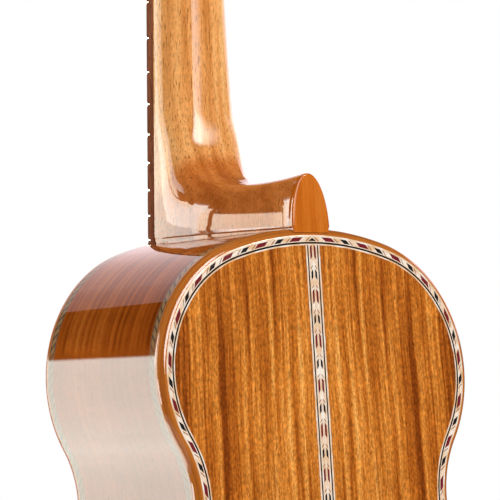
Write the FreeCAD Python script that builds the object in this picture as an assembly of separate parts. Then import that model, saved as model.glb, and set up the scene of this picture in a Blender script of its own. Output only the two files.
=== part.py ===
"""Cavaquinho: a small four-string lute with a bent-side sound box, an arched and inlaid back,
a neck with a block heel that meets the box at the twelfth fret, and a tilted head with four
worm-geared tuning machines.

Frame, in millimetres: X runs across the instrument, -Y is the side of the soundboard and strings,
+Y the side of the back, and +Z runs up the neck. The origin is on the centre line at the nut, in
the plane where the fingerboard is glued to the neck. That plane is also the soundboard's face.
"""

import FreeCAD
import Part
import math
import os

V = FreeCAD.Vector

# Scale and frets
scale_length = 340.0
semitones = 12
frets_to_body = 12
fret_count = 19
fret_crown_width = 2.0
fret_crown_height = 1.0
fret_tang_width = 0.6
fret_tang_depth = 1.5
nut_width = 30.0
nut_thickness = 5.0
nut_height = 6.6
joint_width = 40.5
fingerboard_thickness = 4.6
fingerboard_overhang = 3.5
marker_radius = 2.0
marker_depth = 0.8
marker_frets = (5, 7, 10, 12)

# Outline of the sound box
body_length = 275.0
upper_bout_width = 161.0
upper_bout_drop_share = 0.2145
upper_bout_radius_share = 0.2
waist_width = 132.0
lower_bout_width = 208.0
lower_bout_drop_share = 0.7018
lower_bout_radius_share = 0.2327

# Depth of the sound box, and the arch of its back
depth_at_neck = 78.7
depth_gain_share = 0.046
back_arch_radius = 2100.0

# Walls and plates
side_thickness = 2.2
soundboard_thickness = 2.5
back_thickness = 2.6
lining_width = 5.0
lining_height = 12.0

# Inlays and edge strips
binding_height = 4.2
edge_band_width = 4.8
edge_band_depth = 1.3
side_inlay_height = 3.2
side_inlay_depth = 0.7
centre_strip_width = 7.4
centre_strip_depth = 1.3

# Soundhole
soundhole_radius = 30.0
soundhole_drop_share = 0.5647
rosette_gap = 3.0
rosette_width = 9.0
rosette_depth = 1.2
hole_patch_width = 10.0
hole_patch_thickness = 1.8

# Blocks and braces inside
heel_block_width = 62.0
heel_block_length = 24.0
tail_block_width = 70.0
tail_block_length = 14.0
brace_width = 6.0
back_brace_height = 11.0
top_brace_height = 10.0
back_brace_drop_shares = (0.211, 0.465, 0.745)
top_brace_gap = 3.0
fan_brace_width = 4.0
fan_brace_height = 4.5
fan_brace_tail_gap = 26.0
fan_brace_spacing = 30.0
fan_brace_splay = 7.0
fan_brace_gap = 2.0
bridge_patch_length = 34.0
bridge_patch_width = 110.0
bridge_patch_thickness = 1.8
seam_strip_width = 16.0
seam_strip_thickness = 2.0

# Neck and heel
neck_depth_at_nut = 12.8
neck_depth_at_heel = 13.6
heel_height = 22.5
heel_fillet_height = 30.0
heel_fillet_depth = 18.0
heel_cap_width = 19.6
heel_cap_thickness = 2.5
tenon_width = 14.0
tenon_length = 15.0
tenon_front_depth = 14.0
tenon_back_margin = 18.0
heel_taper_power = 1.5

# Roundness of the neck's sections, 2 for an ellipse and more for squarer ones, and how many there are
shaft_power = 2.35
heel_power = 2.1
head_power = 7.0
section_steps = 12
corner_steps = 9
heel_steps = 6
head_steps = 4

# Head
head_angle = 12.0
head_thickness = 13.0
head_veneer_thickness = 1.8
head_length = 124.0
head_root_half_width = 17.0
head_flare_height = 20.0
head_lower_half_width = 26.0
head_upper_half_width = 29.0
head_shoulder_height = 104.0
head_transition = 26.0
head_root_recess_share = 0.02
head_flare_power = 1.5
head_flare_shares = (0.66, 0.5)
head_notch_shares = (0.42, 0.91)
head_swell_shares = (0.82, 0.94)

# Tuning machines, four alike, two on each edge of the head
tuner_offset_width = 13.5
tuner_lower_height = 38.0
tuner_pitch = 40.0
gear_teeth = 14
gear_pitch_radius = 4.2
gear_width = 3.0
gear_bore_radius = 1.8
worm_pitch_radius = 2.4
worm_turns = 4
tooth_addendum = 0.55
tooth_root_clearance = 0.2
worm_tooth_share = 0.36
gear_tooth_share = 0.38
tooth_flank_angle = 20.0
plate_thickness = 1.2
plate_width = 14.0
plate_corner_radius = 3.0
plate_top_margin = 5.0
worm_gap = 0.2
worm_shaft_radius = 1.4
worm_end_length = 0.8
lug_thickness = 1.5
lug_width = 5.6
running_clearance = 0.05
shaft_collar_radius = 2.1
shaft_collar_length = 0.8
button_gap = 5.0
button_length = 16.0
button_height = 14.0
button_thickness = 6.6
button_edge_radius = 2.4
button_socket_depth = 9.0
ferrule_radius = 3.0
ferrule_length = 3.0
post_radius = 3.0
post_waist_radius = 2.5
post_height = 14.0
post_hole_radius = 0.9
post_hole_height = 9.0
post_cap_height = 2.2
bushing_wall_thickness = 1.3
bushing_length = 7.0
bushing_flange_radius = 5.4
bushing_flange_thickness = 0.9
plate_screw_head_radius = 2.0
plate_screw_head_height = 0.9
plate_screw_radius = 1.0
plate_screw_length = 8.0
plate_screw_gap = 0.35
gear_screw_head_radius = 2.4
gear_screw_head_height = 1.1
gear_screw_radius = 0.9
gear_screw_length = 5.0
slot_share = 0.25

# Bridge and saddle
bridge_block_width = 52.0
bridge_length = 94.0
bridge_base_thickness = 3.2
bridge_wing_thickness = 3.6
bridge_tip_thickness = 1.6
saddle_block_height = 6.8
saddle_block_front_length = 8.0
saddle_block_back_length = 3.2
tie_channel_width = 5.5
tie_block_length = 9.0
tie_block_height = 6.6
tie_hole_height = 4.3
tie_hole_clearance = 0.2
saddle_thickness = 2.5
saddle_length = 46.0
saddle_height = 9.6
saddle_slot_depth = 4.0

# Strings, treble side at +X
string_diameters = (0.28, 0.33, 0.58, 0.71)
string_nut_spacing = 8.0
string_saddle_spacing = 10.6
string_nut_height = 5.6
string_gap = 0.03
string_bend_radius = 1.4
string_nut_bend_radius = 4.0
winding_turns = 3
winding_gap = 0.45
winding_clearance = 0.2
string_end_radius = 1.7
string_end_length = 3.4

# How far cutting shapes run past a face, and how many times a search is halved
overrun_length = 5.0
halvings = 80

joint_z = -scale_length * (1 - 2 ** (-frets_to_body / semitones))
saddle_z = -scale_length
tail_z = joint_z - body_length
soundhole_z = joint_z + (saddle_z - joint_z) * soundhole_drop_share
upper_bout_radius = upper_bout_radius_share * body_length
lower_bout_radius = lower_bout_radius_share * body_length
binding_width = side_thickness
pivot_y = neck_depth_at_heel + heel_fillet_depth
pivot_z = joint_z + heel_height + heel_fillet_height
deep = 2 * (depth_at_neck + depth_gain_share * body_length)


def fret_z(number):
    """Height of a fret, from the rule that each fret shortens the string by a semitone."""
    return -scale_length * (1 - 2 ** (-number / semitones))


def box(x0, x1, y0, y1, z0, z1):
    """A block between two corners."""
    return Part.makeBox(x1 - x0, y1 - y0, z1 - z0, V(x0, y0, z0))


def rod(radius, start, end):
    """A round rod between two points."""
    along = end - start
    return Part.makeCylinder(radius, along.Length, start, along)


def fused(shapes):
    """Several touching shapes as one clean solid."""
    return shapes[0].multiFuse(shapes[1:]).removeSplitter()


def closed_face(points):
    """A flat face with straight edges."""
    return Part.Face(Part.makePolygon(points + [points[0]]))


# Outline of the sound box as tangent arcs


def outline_centres():
    """Centres and radii of the five arcs on one side: shoulder, upper bout, waist, lower bout, tail."""
    upper_x = upper_bout_width / 2 - upper_bout_radius
    upper_z = -upper_bout_drop_share * body_length
    shoulder_r = (upper_x**2 + upper_z**2 - upper_bout_radius**2) / (-2 * (upper_z + upper_bout_radius))
    lower_x = lower_bout_width / 2 - lower_bout_radius
    lower_z = -lower_bout_drop_share * body_length
    rise = lower_z + body_length
    tail_r = (lower_x**2 + rise**2 - lower_bout_radius**2) / (2 * (rise - lower_bout_radius))
    near_upper = waist_width / 2 - upper_x
    near_lower = waist_width / 2 - lower_x

    def reach(radius):
        up = math.sqrt((upper_bout_radius - near_upper) * (near_upper + upper_bout_radius + 2 * radius))
        down = math.sqrt((lower_bout_radius - near_lower) * (near_lower + lower_bout_radius + 2 * radius))
        return up, down

    low, high = 0.0, 4 * body_length
    for _ in range(halvings):
        middle = (low + high) / 2
        if sum(reach(middle)) < upper_z - lower_z:
            low = middle
        else:
            high = middle
    waist_r = (low + high) / 2
    waist_x = waist_width / 2 + waist_r
    waist_z = upper_z - reach(waist_r)[0]
    return (
        (0.0, -shoulder_r, shoulder_r),
        (upper_x, upper_z, upper_bout_radius),
        (waist_x, waist_z, -waist_r),
        (lower_x, lower_z, lower_bout_radius),
        (0.0, tail_r - body_length, tail_r),
    )


def outline_wire(inset):
    """Closed outline in the plane Y = 0, moved inwards by inset.

    Neighbouring arcs meet on the line through their centres. The waist bends the other way, so its radius
    counts as negative.
    """
    centres = outline_centres()
    right = []
    for index, (cx, cz, radius) in enumerate(centres):
        r = radius - inset
        ends = []
        for other in (index - 1, index + 1):
            if 0 <= other < len(centres):
                ox, oz, other_radius = centres[other]
                bends_apart = radius < 0 or other_radius < 0
                reach = abs(r) if bends_apart or radius > other_radius else -abs(r)
                gap = math.hypot(ox - cx, oz - cz)
                ends.append((cx + (ox - cx) * reach / gap, cz + (oz - cz) * reach / gap))
        if index == 0:
            ends = [(0.0, cz + r)] + ends
        if index == len(centres) - 1:
            ends = ends + [(0.0, cz - r)]
        (ax, az), (bx, bz) = ends
        mx, mz = (ax + bx) / 2 - cx, (az + bz) / 2 - cz
        scale = abs(r) / math.hypot(mx, mz)
        right.append(((ax, az), (cx + mx * scale, cz + mz * scale), (bx, bz)))

    def arc(start, middle, end):
        points = [V(x, 0, joint_z + z) for x, z in (start, middle, end)]
        return Part.Arc(*points).toShape()

    def flip(point):
        return (-point[0], point[1])

    edges = []
    top, tail = right[0], right[-1]
    edges.append(arc(flip(top[2]), top[0], top[2]))
    for start, middle, end in right[1:-1]:
        edges.append(arc(start, middle, end))
    edges.append(arc(tail[0], tail[2], flip(tail[0])))
    for start, middle, end in reversed(right[1:-1]):
        edges.append(arc(flip(end), flip(middle), flip(start)))
    return Part.Wire(edges)


def prism(inset, y0=0.0, y1=None):
    """The outline as a block from y0 to y1, moved inwards by inset."""
    y1 = deep if y1 is None else y1
    solid = Part.Face(outline_wire(inset)).extrude(V(0, y1 - y0, 0))
    solid.translate(V(0, y0, 0))
    return solid


def band(outer_inset, inner_inset, y0=0.0, y1=None):
    """The wall between two insets of the outline."""
    return prism(outer_inset, y0, y1).cut(prism(inner_inset, y0, y1))


def under_back(depth):
    """Everything in front of the back's arched surface, less a depth measured square to it."""
    along = V(0, -depth_gain_share, 1).normalize()
    outwards = V(0, 1, depth_gain_share).normalize()
    start = V(0, depth_at_neck, joint_z) - outwards * back_arch_radius - along * (2 * body_length)
    cylinder = Part.makeCylinder(back_arch_radius - depth, 4 * body_length, start, along)
    cylinder.rotate(start, along, 90)
    return cylinder


def back_layer(outer_depth, inner_depth):
    """The layer between two depths under the back's surface."""
    return under_back(outer_depth).cut(under_back(inner_depth))


def half(side):
    """The half space on one side of the centre line, +1 for +X."""
    wide = lower_bout_width
    x0, x1 = (0.0, wide) if side > 0 else (-wide, 0.0)
    return box(x0, x1, -deep, 2 * deep, tail_z - overrun_length, joint_z + body_length)


def both_halves(shape):
    """A strip that goes all round, as a left and a right piece that meet at the centre line."""
    return Part.makeCompound([shape.common(half(side)) for side in (1, -1)])


# Neck and heel, lofted from sections that turn the corner at the heel


def section(origin, across_depth, half_width, depth, power, skirt):
    """A closed U in the plane of X and across_depth. Its open end runs back by skirt, past the cut face."""
    points = []
    for step in range(section_steps + 1):
        turn = math.pi * step / section_steps
        c, s = math.cos(turn), math.sin(turn)
        x = half_width * math.copysign(abs(c) ** (2 / power), c)
        d = depth * abs(s) ** (2 / power)
        points.append(origin + V(x, 0, 0) + across_depth * d)
    curve = Part.BSplineCurve()
    curve.interpolate(Points=points, InitialTangent=across_depth, FinalTangent=across_depth * -1)
    start, end = points[0], points[-1]
    start_skirt, end_skirt = start - across_depth * skirt, end - across_depth * skirt
    return Part.Wire(
        [
            Part.LineSegment(start_skirt, start).toShape(),
            curve.toShape(),
            Part.LineSegment(end, end_skirt).toShape(),
            Part.LineSegment(end_skirt, start_skirt).toShape(),
        ]
    )


def neck_half_width(z):
    """Half the neck's width, straight from the nut to the joint."""
    return (nut_width + (joint_width - nut_width) * z / joint_z) / 2


def neck_depth(z):
    """Depth of the neck's wood behind the glue plane."""
    share = z / pivot_z
    return neck_depth_at_nut + (neck_depth_at_heel - neck_depth_at_nut) * share


def shaft_section(z):
    return section(V(0, 0, z), V(0, 1, 0), neck_half_width(z), neck_depth(z), shaft_power, overrun_length)


def heel_half_width(y):
    """Half the heel's width at the joint, from the neck's at the glue plane to the cap's at the back."""
    share = min(y / depth_at_neck, 1.0)
    end = heel_cap_width / 2
    return end + (joint_width / 2 - end) * (1 - share**2) ** heel_taper_power


def turned_section(share):
    """A section of the corner, turned about the centre of the heel's oval fillet by a share of a right angle."""
    turn = math.pi / 2 * share
    towards = V(0, math.cos(turn), math.sin(turn))
    reach = 1 / math.hypot(towards.y / heel_fillet_depth, towards.z / heel_fillet_height)
    corner = V(0, pivot_y, pivot_z) - towards * reach
    to_face = corner.y / towards.y if share < 1 else deep
    to_joint = (corner.z - joint_z) / towards.z if share > 0 else deep
    flat = min(to_face, to_joint)
    origin = corner - towards * flat
    half_width = neck_half_width(origin.z) if to_face < to_joint else heel_half_width(origin.y)
    power = shaft_power + (heel_power - shaft_power) * share
    return section(origin, towards, half_width, flat, power, heel_height)


def straight_heel_section(y):
    """A section of the heel in a plane of constant Y."""
    return section(V(0, y, joint_z), V(0, 0, 1), heel_half_width(y), heel_height, heel_power, heel_height)


def head_frame():
    """Placement of the tilted head: x across, y up the head, z out of its face."""
    tilt = math.radians(head_angle)
    up = V(0, math.sin(tilt), math.cos(tilt))
    out = V(0, -math.cos(tilt), math.sin(tilt))
    matrix = FreeCAD.Matrix(1, 0, 0, 0, 0, up.y, out.y, 0, 0, up.z, out.z, nut_thickness, 0, 0, 0, 1)
    return FreeCAD.Placement(matrix)


def on_head(shape):
    """Moves a shape from the head's own frame to the instrument's."""
    moved = shape.copy()
    moved.Placement = head_frame().multiply(moved.Placement)
    return moved


def head_point(x, up, out):
    """A point of the head's own frame in the instrument's frame."""
    return head_frame().multVec(V(x, up, out))


def head_outline(z0, z1):
    """The head's shape seen from the front, as a slab from z0 to z1 in its own frame."""
    flare = V(head_lower_half_width, head_flare_height, z0)
    shoulder = V(head_upper_half_width, head_shoulder_height, z0)
    root = V(head_root_half_width, 0, z0)
    crown = V(0, head_length, z0)
    notch, swell = [
        V(across * head_upper_half_width, up * head_length, z0)
        for across, up in (head_notch_shares, head_swell_shares)
    ]
    flare_x_share, flare_up_share = head_flare_shares
    flare_x = head_root_half_width + flare_x_share * (head_lower_half_width - head_root_half_width)
    flare_way = V(flare_x, flare_up_share * head_flare_height, z0)

    def mirrored(point):
        return V(-point.x, point.y, point.z)

    right = Part.BSplineCurve()
    right.interpolate(
        Points=[shoulder, swell, notch, crown],
        InitialTangent=V(0, 1, 0),
        FinalTangent=V(-1, 0, 0),
    )
    left = Part.BSplineCurve()
    left.interpolate(
        Points=[crown, mirrored(notch), mirrored(swell), mirrored(shoulder)],
        InitialTangent=V(-1, 0, 0),
        FinalTangent=V(0, -1, 0),
    )
    edges = [
        Part.Arc(root, flare_way, flare).toShape(),
        Part.LineSegment(flare, shoulder).toShape(),
        right.toShape(),
        left.toShape(),
        Part.LineSegment(mirrored(shoulder), mirrored(flare)).toShape(),
        Part.Arc(mirrored(flare), mirrored(flare_way), mirrored(root)).toShape(),
        Part.LineSegment(mirrored(root), root).toShape(),
    ]
    return Part.Face(Part.Wire(edges)).extrude(V(0, 0, z1 - z0))


def tuner_places():
    """Post centres on the head with their edge: treble low, treble high, bass high, bass low."""
    upper_height = tuner_lower_height + tuner_pitch
    return (
        (tuner_offset_width, tuner_lower_height, 1),
        (tuner_offset_width, upper_height, 1),
        (-tuner_offset_width, upper_height, -1),
        (-tuner_offset_width, tuner_lower_height, -1),
    )


def outside_box(shape):
    """What lies behind the glue plane and outside the sound box."""
    behind = box(-joint_width, joint_width, 0, 2 * deep, tail_z, head_length)
    return shape.common(behind).cut(prism(0, -overrun_length, deep))


def neck_solids():
    """The neck with its heel and head as one piece of wood, and the thin cap on the heel's end."""
    corner = [turned_section(step / corner_steps) for step in range(corner_steps + 1)]
    reach = depth_at_neck + heel_height - pivot_y
    straight = [straight_heel_section(pivot_y + reach * step / heel_steps) for step in range(heel_steps + 1)]
    shaft = outside_box(Part.makeLoft([shaft_section(0.0), shaft_section(pivot_z)], True, True))
    turn = outside_box(Part.makeLoft(corner, True, True))
    heel = outside_box(Part.makeLoft(straight, True, False))
    cap = heel.common(back_layer(0, heel_cap_thickness))
    heel = heel.common(under_back(heel_cap_thickness))
    slab = on_head(head_outline(-head_thickness, 0.0))
    sections = []
    for step in range(head_steps + 1):
        share = step / head_steps
        origin = head_point(0, head_transition * share, 0)
        towards = (head_point(0, head_transition * share, -head_thickness) - origin).normalize()
        half_width = nut_width / 2 + (head_lower_half_width - nut_width / 2) * share**head_flare_power
        power = shaft_power + (head_power - shaft_power) * share**2
        depth = head_thickness * (1 - head_root_recess_share * share)
        sections.append(section(origin, towards, half_width, depth, power, overrun_length))
    root = Part.makeLoft([shaft_section(0.0), *sections], True, False)
    behind_face = box(-deep, deep, 0, deep, -overrun_length, nut_thickness)
    behind_face = behind_face.fuse(on_head(box(-deep, deep, -overrun_length, deep, -deep, 0)))
    root = outside_box(root).common(behind_face)
    wood = fused([shaft, turn, heel, tenon_block(), root, slab])
    for x, up, _ in tuner_places():
        start = V(x, up, -2 * head_thickness)
        bore = Part.makeCylinder(post_radius + bushing_wall_thickness, 3 * head_thickness, start)
        wood = wood.cut(on_head(bore))
    return wood.cut(plate_screw_holes()), cap


def tenon_block():
    """The tenon that carries the neck, and the space that the sides and the heel block leave for it."""
    return box(-tenon_width / 2, tenon_width / 2, tenon_front_depth, depth_at_neck - tenon_back_margin,
               joint_z - tenon_length, joint_z + heel_height / 2)


# Sound box


def soundboard():
    plate = prism(binding_width, 0, soundboard_thickness)
    plate = plate.cut(band(binding_width, binding_width + edge_band_width, 0, edge_band_depth))
    middle = V(0, -overrun_length, soundhole_z)
    outwards = V(0, 1, 0)
    plate = plate.cut(Part.makeCylinder(soundhole_radius, 4 * overrun_length, middle, outwards))
    return plate.cut(rosette())


def hole_ring(inner, outer, y0, y1):
    """A flat ring round the soundhole."""
    centre = V(0, y0, soundhole_z)
    outwards = V(0, 1, 0)
    ring = Part.makeCylinder(outer, y1 - y0, centre, outwards)
    return ring.cut(Part.makeCylinder(inner, y1 - y0, centre, outwards))


def rosette():
    inner = soundhole_radius + rosette_gap
    return hole_ring(inner, inner + rosette_width, 0, rosette_depth)


def soundhole_patch():
    return hole_ring(soundhole_radius + rosette_gap, soundhole_radius + hole_patch_width,
                     soundboard_thickness, soundboard_thickness + hole_patch_thickness)


def side(direction):
    """One bent side, between the two bindings, with the channels for its inlays and the heel's tenon."""
    wall = band(0, side_thickness, binding_height).common(under_back(binding_height))
    for strip in side_inlays():
        wall = wall.cut(strip)
    return wall.common(half(direction)).cut(tenon_block())


def side_inlays():
    """The strips let into the sides beside the front and back bindings."""
    front = band(0, side_inlay_depth, binding_height, binding_height + side_inlay_height)
    back = band(0, side_inlay_depth).common(back_layer(binding_height, binding_height + side_inlay_height))
    return front, back


def bindings():
    front = band(0, binding_width, 0, binding_height)
    back = band(0, binding_width).common(back_layer(0, binding_height))
    return front, back


def back_edge_band():
    return band(binding_width, binding_width + edge_band_width).common(back_layer(0, edge_band_depth))


def centre_strip():
    inner = prism(binding_width + edge_band_width)
    strip = box(-centre_strip_width / 2, centre_strip_width / 2, 0, deep, tail_z, joint_z)
    return strip.common(inner).common(back_layer(0, centre_strip_depth))


def back_plate(direction):
    plate = prism(binding_width).common(back_layer(0, back_thickness))
    plate = plate.cut(back_edge_band()).cut(centre_strip())
    return plate.common(half(direction))


def blocks():
    """The heel block and the tail block, between the plates."""
    space = prism(side_thickness, soundboard_thickness).common(under_back(back_thickness))
    heel = space.common(box(-heel_block_width / 2, heel_block_width / 2, 0, deep,
                            joint_z - heel_block_length, joint_z))
    tail = space.common(box(-tail_block_width / 2, tail_block_width / 2, 0, deep,
                            tail_z, tail_z + tail_block_length))
    return heel.cut(tenon_block()), tail


def linings():
    """The glue strips in the corners between sides and plates, stopped at the blocks."""
    wall = band(side_thickness, side_thickness + lining_width, soundboard_thickness)
    front = wall.common(prism(0, 0, soundboard_thickness + lining_height))
    back = wall.common(back_layer(back_thickness, back_thickness + lining_height))
    block_room = [
        box(-heel_block_width / 2, heel_block_width / 2, 0, deep, joint_z - heel_block_length, joint_z),
        box(-tail_block_width / 2, tail_block_width / 2, 0, deep, tail_z, tail_z + tail_block_length),
    ]
    return [both_halves(strip.cut(block_room[0]).cut(block_room[1])) for strip in (front, back)]


def inside(layer):
    """The part of a layer that lies within the linings."""
    return layer.common(prism(side_thickness + lining_width))


def back_braces():
    """Three bars across the back, each on edge under the arch."""
    bars = []
    layer = back_layer(back_thickness, back_thickness + back_brace_height)
    for share in back_brace_drop_shares:
        z = joint_z - share * body_length
        bars.append(inside(box(-lower_bout_width, lower_bout_width, 0, deep,
                               z - brace_width / 2, z + brace_width / 2).common(layer)))
    return Part.makeCompound(bars)


def seam_strip():
    """The cross-grained strip over the joint of the two back plates, let in between the braces."""
    strip = box(-seam_strip_width / 2, seam_strip_width / 2, 0, deep,
                tail_z + tail_block_length, joint_z - heel_block_length)
    strip = strip.common(back_layer(back_thickness, back_thickness + seam_strip_thickness))
    return strip.cut(back_braces())


def top_brace_heights():
    """Where the soundboard's two bars lie: clear of the hole's ring, and midway to the bridge's patch."""
    ring_reach = soundhole_radius + hole_patch_width
    upper = soundhole_z + ring_reach + top_brace_gap + brace_width / 2
    lower = (soundhole_z - ring_reach + bridge_patch_z() + bridge_patch_length / 2) / 2
    return upper, lower


def top_braces():
    """The two bars across the soundboard, above and below the soundhole."""
    bars = []
    for z in top_brace_heights():
        bars.append(inside(box(-lower_bout_width, lower_bout_width, soundboard_thickness,
                               soundboard_thickness + top_brace_height,
                               z - brace_width / 2, z + brace_width / 2)))
    return Part.makeCompound(bars)


def bridge_patch_z():
    return saddle_z - saddle_block_back_length


def bridge_patch():
    z = bridge_patch_z()
    return box(-bridge_patch_width / 2, bridge_patch_width / 2, soundboard_thickness,
               soundboard_thickness + bridge_patch_thickness,
               z - bridge_patch_length / 2, z + bridge_patch_length / 2)


def fan_braces():
    """Three light struts that fan out under the bridge."""
    top = top_brace_heights()[-1] - brace_width / 2 - fan_brace_gap
    length = top - (tail_z + tail_block_length + fan_brace_tail_gap)
    bars = []
    for place in (-1, 0, 1):
        bar = box(-fan_brace_width / 2, fan_brace_width / 2, soundboard_thickness,
                  soundboard_thickness + fan_brace_height, -length / 2, length / 2)
        bar.rotate(V(0, 0, 0), V(0, 1, 0), -place * fan_brace_splay)
        bar.translate(V(place * fan_brace_spacing, 0, top - length / 2))
        bars.append(bar.cut(bridge_patch()))
    return Part.makeCompound(bars)


# Fingerboard, frets and nut


def fingerboard_end_z():
    return fret_z(fret_count) - fingerboard_overhang


def tapered_plate(y0, y1, z0, z1):
    """A plate as wide as the neck between two heights, between two depths."""
    corners = [
        V(-neck_half_width(z0), y0, z0),
        V(neck_half_width(z0), y0, z0),
        V(neck_half_width(z1), y0, z1),
        V(-neck_half_width(z1), y0, z1),
    ]
    return closed_face(corners).extrude(V(0, y1 - y0, 0))


def markers():
    """Round position markers let into the fingerboard's face."""
    dots = []
    face_y = -fingerboard_thickness
    for number in marker_frets:
        z = (fret_z(number) + fret_z(number - 1)) / 2
        dots.append(Part.makeCylinder(marker_radius, marker_depth, V(0, face_y, z), V(0, 1, 0)))
    return Part.makeCompound(dots)


def fret(number):
    """One fret: a round crown on the face, and a tang in its slot."""
    z = fret_z(number)
    half_width = neck_half_width(z)
    sag = fret_crown_height
    radius = ((fret_crown_width / 2) ** 2 + sag**2) / (2 * sag)
    centre_y = -fingerboard_thickness - sag + radius
    bead = Part.makeCylinder(radius, 2 * half_width, V(-half_width, centre_y, z), V(1, 0, 0))
    crown = bead.common(box(-half_width, half_width, -2 * fingerboard_thickness, -fingerboard_thickness,
                            z - fret_crown_width, z + fret_crown_width))
    tang = box(-half_width, half_width, -fingerboard_thickness, -fingerboard_thickness + fret_tang_depth,
               z - fret_tang_width / 2, z + fret_tang_width / 2)
    return fused([crown, tang])


def frets():
    return Part.makeCompound([fret(number) for number in range(1, fret_count + 1)])


def fingerboard():
    board = tapered_plate(-fingerboard_thickness, 0, 0, fingerboard_end_z())
    for number in range(1, fret_count + 1):
        z = fret_z(number)
        board = board.cut(box(-joint_width, joint_width, -fingerboard_thickness,
                              -fingerboard_thickness + fret_tang_depth,
                              z - fret_tang_width / 2, z + fret_tang_width / 2))
    return board.cut(markers())


def nut():
    block = box(-nut_width / 2, nut_width / 2, -nut_height, 0, 0, nut_thickness)
    for number in range(len(string_diameters)):
        block = block.cut(nut_slot(number))
    return block


# Bridge and saddle


def bridge_profile():
    """The side view of the bridge's middle: saddle block, channel and tie block on one base."""
    front_z = saddle_z + saddle_block_front_length
    back_z = saddle_z - saddle_block_back_length
    tie_z = back_z - tie_channel_width
    end_z = tie_z - tie_block_length
    step = (saddle_block_height - bridge_base_thickness) / 2
    points = [
        (0, front_z),
        (bridge_base_thickness, front_z),
        (saddle_block_height, front_z - step),
        (saddle_block_height, back_z),
        (bridge_base_thickness, back_z),
        (bridge_base_thickness, tie_z),
        (tie_block_height, tie_z),
        (tie_block_height, end_z),
        (0, end_z),
    ]
    return [V(-bridge_block_width / 2, -height, z) for height, z in points]


def bridge_end_z():
    return saddle_z - saddle_block_back_length - tie_channel_width - tie_block_length


def bridge():
    middle = closed_face(bridge_profile()).extrude(V(bridge_block_width, 0, 0))
    wings = []
    front_z = saddle_z + saddle_block_front_length
    for direction in (1, -1):
        root, tip = direction * bridge_block_width / 2, direction * bridge_length / 2
        foot, tip_foot = V(root, 0, 0), V(tip, 0, 0)
        points = [foot, V(root, -bridge_wing_thickness, 0), V(tip, -bridge_tip_thickness, 0), tip_foot]
        wing = closed_face(points).extrude(V(0, 0, front_z - bridge_end_z()))
        wing.translate(V(0, 0, bridge_end_z()))
        wings.append(wing)
    whole = fused([middle, *wings]).cut(saddle())
    for number in range(len(string_diameters)):
        start, exit_point = string_points(number)[0], string_points(number)[1]
        radius = string_diameters[number] / 2 + tie_hole_clearance
        whole = whole.cut(rod(radius, start - V(0, 0, overrun_length), exit_point))
    return whole


def saddle():
    """The bone saddle: a blade with a round top, standing in its slot."""
    radius = saddle_thickness / 2
    foot_y = -(saddle_block_height - saddle_slot_depth)
    blade = box(-saddle_length / 2, saddle_length / 2, -(saddle_height - radius), foot_y,
                saddle_z - radius, saddle_z + radius)
    top = Part.makeCylinder(radius, saddle_length, V(-saddle_length / 2, -(saddle_height - radius), saddle_z),
                            V(1, 0, 0))
    return fused([blade, top])


# Strings


def string_place(number, spacing):
    """Where a string lies across the neck, the first at +X."""
    return ((len(string_diameters) - 1) / 2 - number) * spacing


def winding_radius(number):
    """Radius of the centre line of the turns on a post."""
    return post_waist_radius + string_diameters[number] / 2 + string_gap


def winding_foot(number):
    """Height above the head's face of the lowest turn."""
    climb = winding_turns * (string_diameters[number] + winding_gap)
    return post_hole_height - post_hole_radius - climb


def string_points(number):
    """Corners of a string's line: its end behind the bridge, the channel, saddle, nut, and its post."""
    r = string_diameters[number] / 2
    x_saddle = string_place(number, string_saddle_spacing)
    x_nut = string_place(number, string_nut_spacing)
    start = V(x_saddle, -tie_hole_height, bridge_end_z())
    channel_front = saddle_z - saddle_block_back_length - tie_channel_width
    exit_point = V(x_saddle, -tie_hole_height, channel_front + string_bend_radius / 2)
    crest = V(x_saddle, -(saddle_height - saddle_thickness / 2), saddle_z)
    ride = saddle_thickness / 2 + r + string_gap
    nut_point = V(x_nut, -(string_nut_height + r), nut_thickness / 4)
    forward = (nut_point - V(x_saddle, crest.y - ride, saddle_z)).normalize()
    backward_drop = math.atan2(exit_point.y - (crest.y - ride), saddle_z - exit_point.z)
    forward_drop = math.atan2(forward.y, forward.z)
    lean = (backward_drop - forward_drop) / 2
    reach = ride / math.cos((backward_drop + forward_drop) / 2)
    crown = V(x_saddle, crest.y - reach * math.cos(lean), saddle_z - reach * math.sin(lean))
    post_x, post_up, edge = tuner_places()[number]
    start_x, start_up = x_nut, -nut_thickness
    clear = winding_radius(number) + string_diameters[number] + winding_clearance
    dx, du = post_x - start_x, post_up - start_up
    distance = math.hypot(dx, du)
    heading = math.atan2(dx, du)
    swing = math.asin(clear / distance)
    length = math.sqrt(distance**2 - clear**2)
    angle = heading - edge * swing
    end_x, end_up = start_x + length * math.sin(angle), start_up + length * math.cos(angle)
    end = head_point(end_x, end_up, winding_foot(number))
    return [start, exit_point, crown, nut_point, end]


def rounded_wire(points, radii):
    """A path of straight runs joined by tangent arcs at its inner points."""
    edges = []
    here = points[0]
    for before, corner, after, radius in zip(points, points[1:], points[2:], radii):
        back, on = (before - corner).normalize(), (after - corner).normalize()
        turn = math.pi - back.getAngle(on)
        cut = radius * math.tan(turn / 2)
        first, last = corner + back * cut, corner + on * cut
        bisector = (back + on).normalize()
        middle = corner + bisector * (radius / math.cos(turn / 2) - radius)
        edges.append(Part.LineSegment(here, first).toShape())
        edges.append(Part.Arc(first, middle, last).toShape())
        here = last
    edges.append(Part.LineSegment(here, points[-1]).toShape())
    return Part.Wire(edges)


def string(number):
    points = string_points(number)
    r = string_diameters[number] / 2
    radii = (string_bend_radius, saddle_thickness / 2 + r + string_gap, string_nut_bend_radius)
    path = rounded_wire(points, radii)
    profile = Part.Wire(Part.makeCircle(r, points[0], points[1] - points[0]))
    return path.makePipeShell([profile], True, False)


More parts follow.
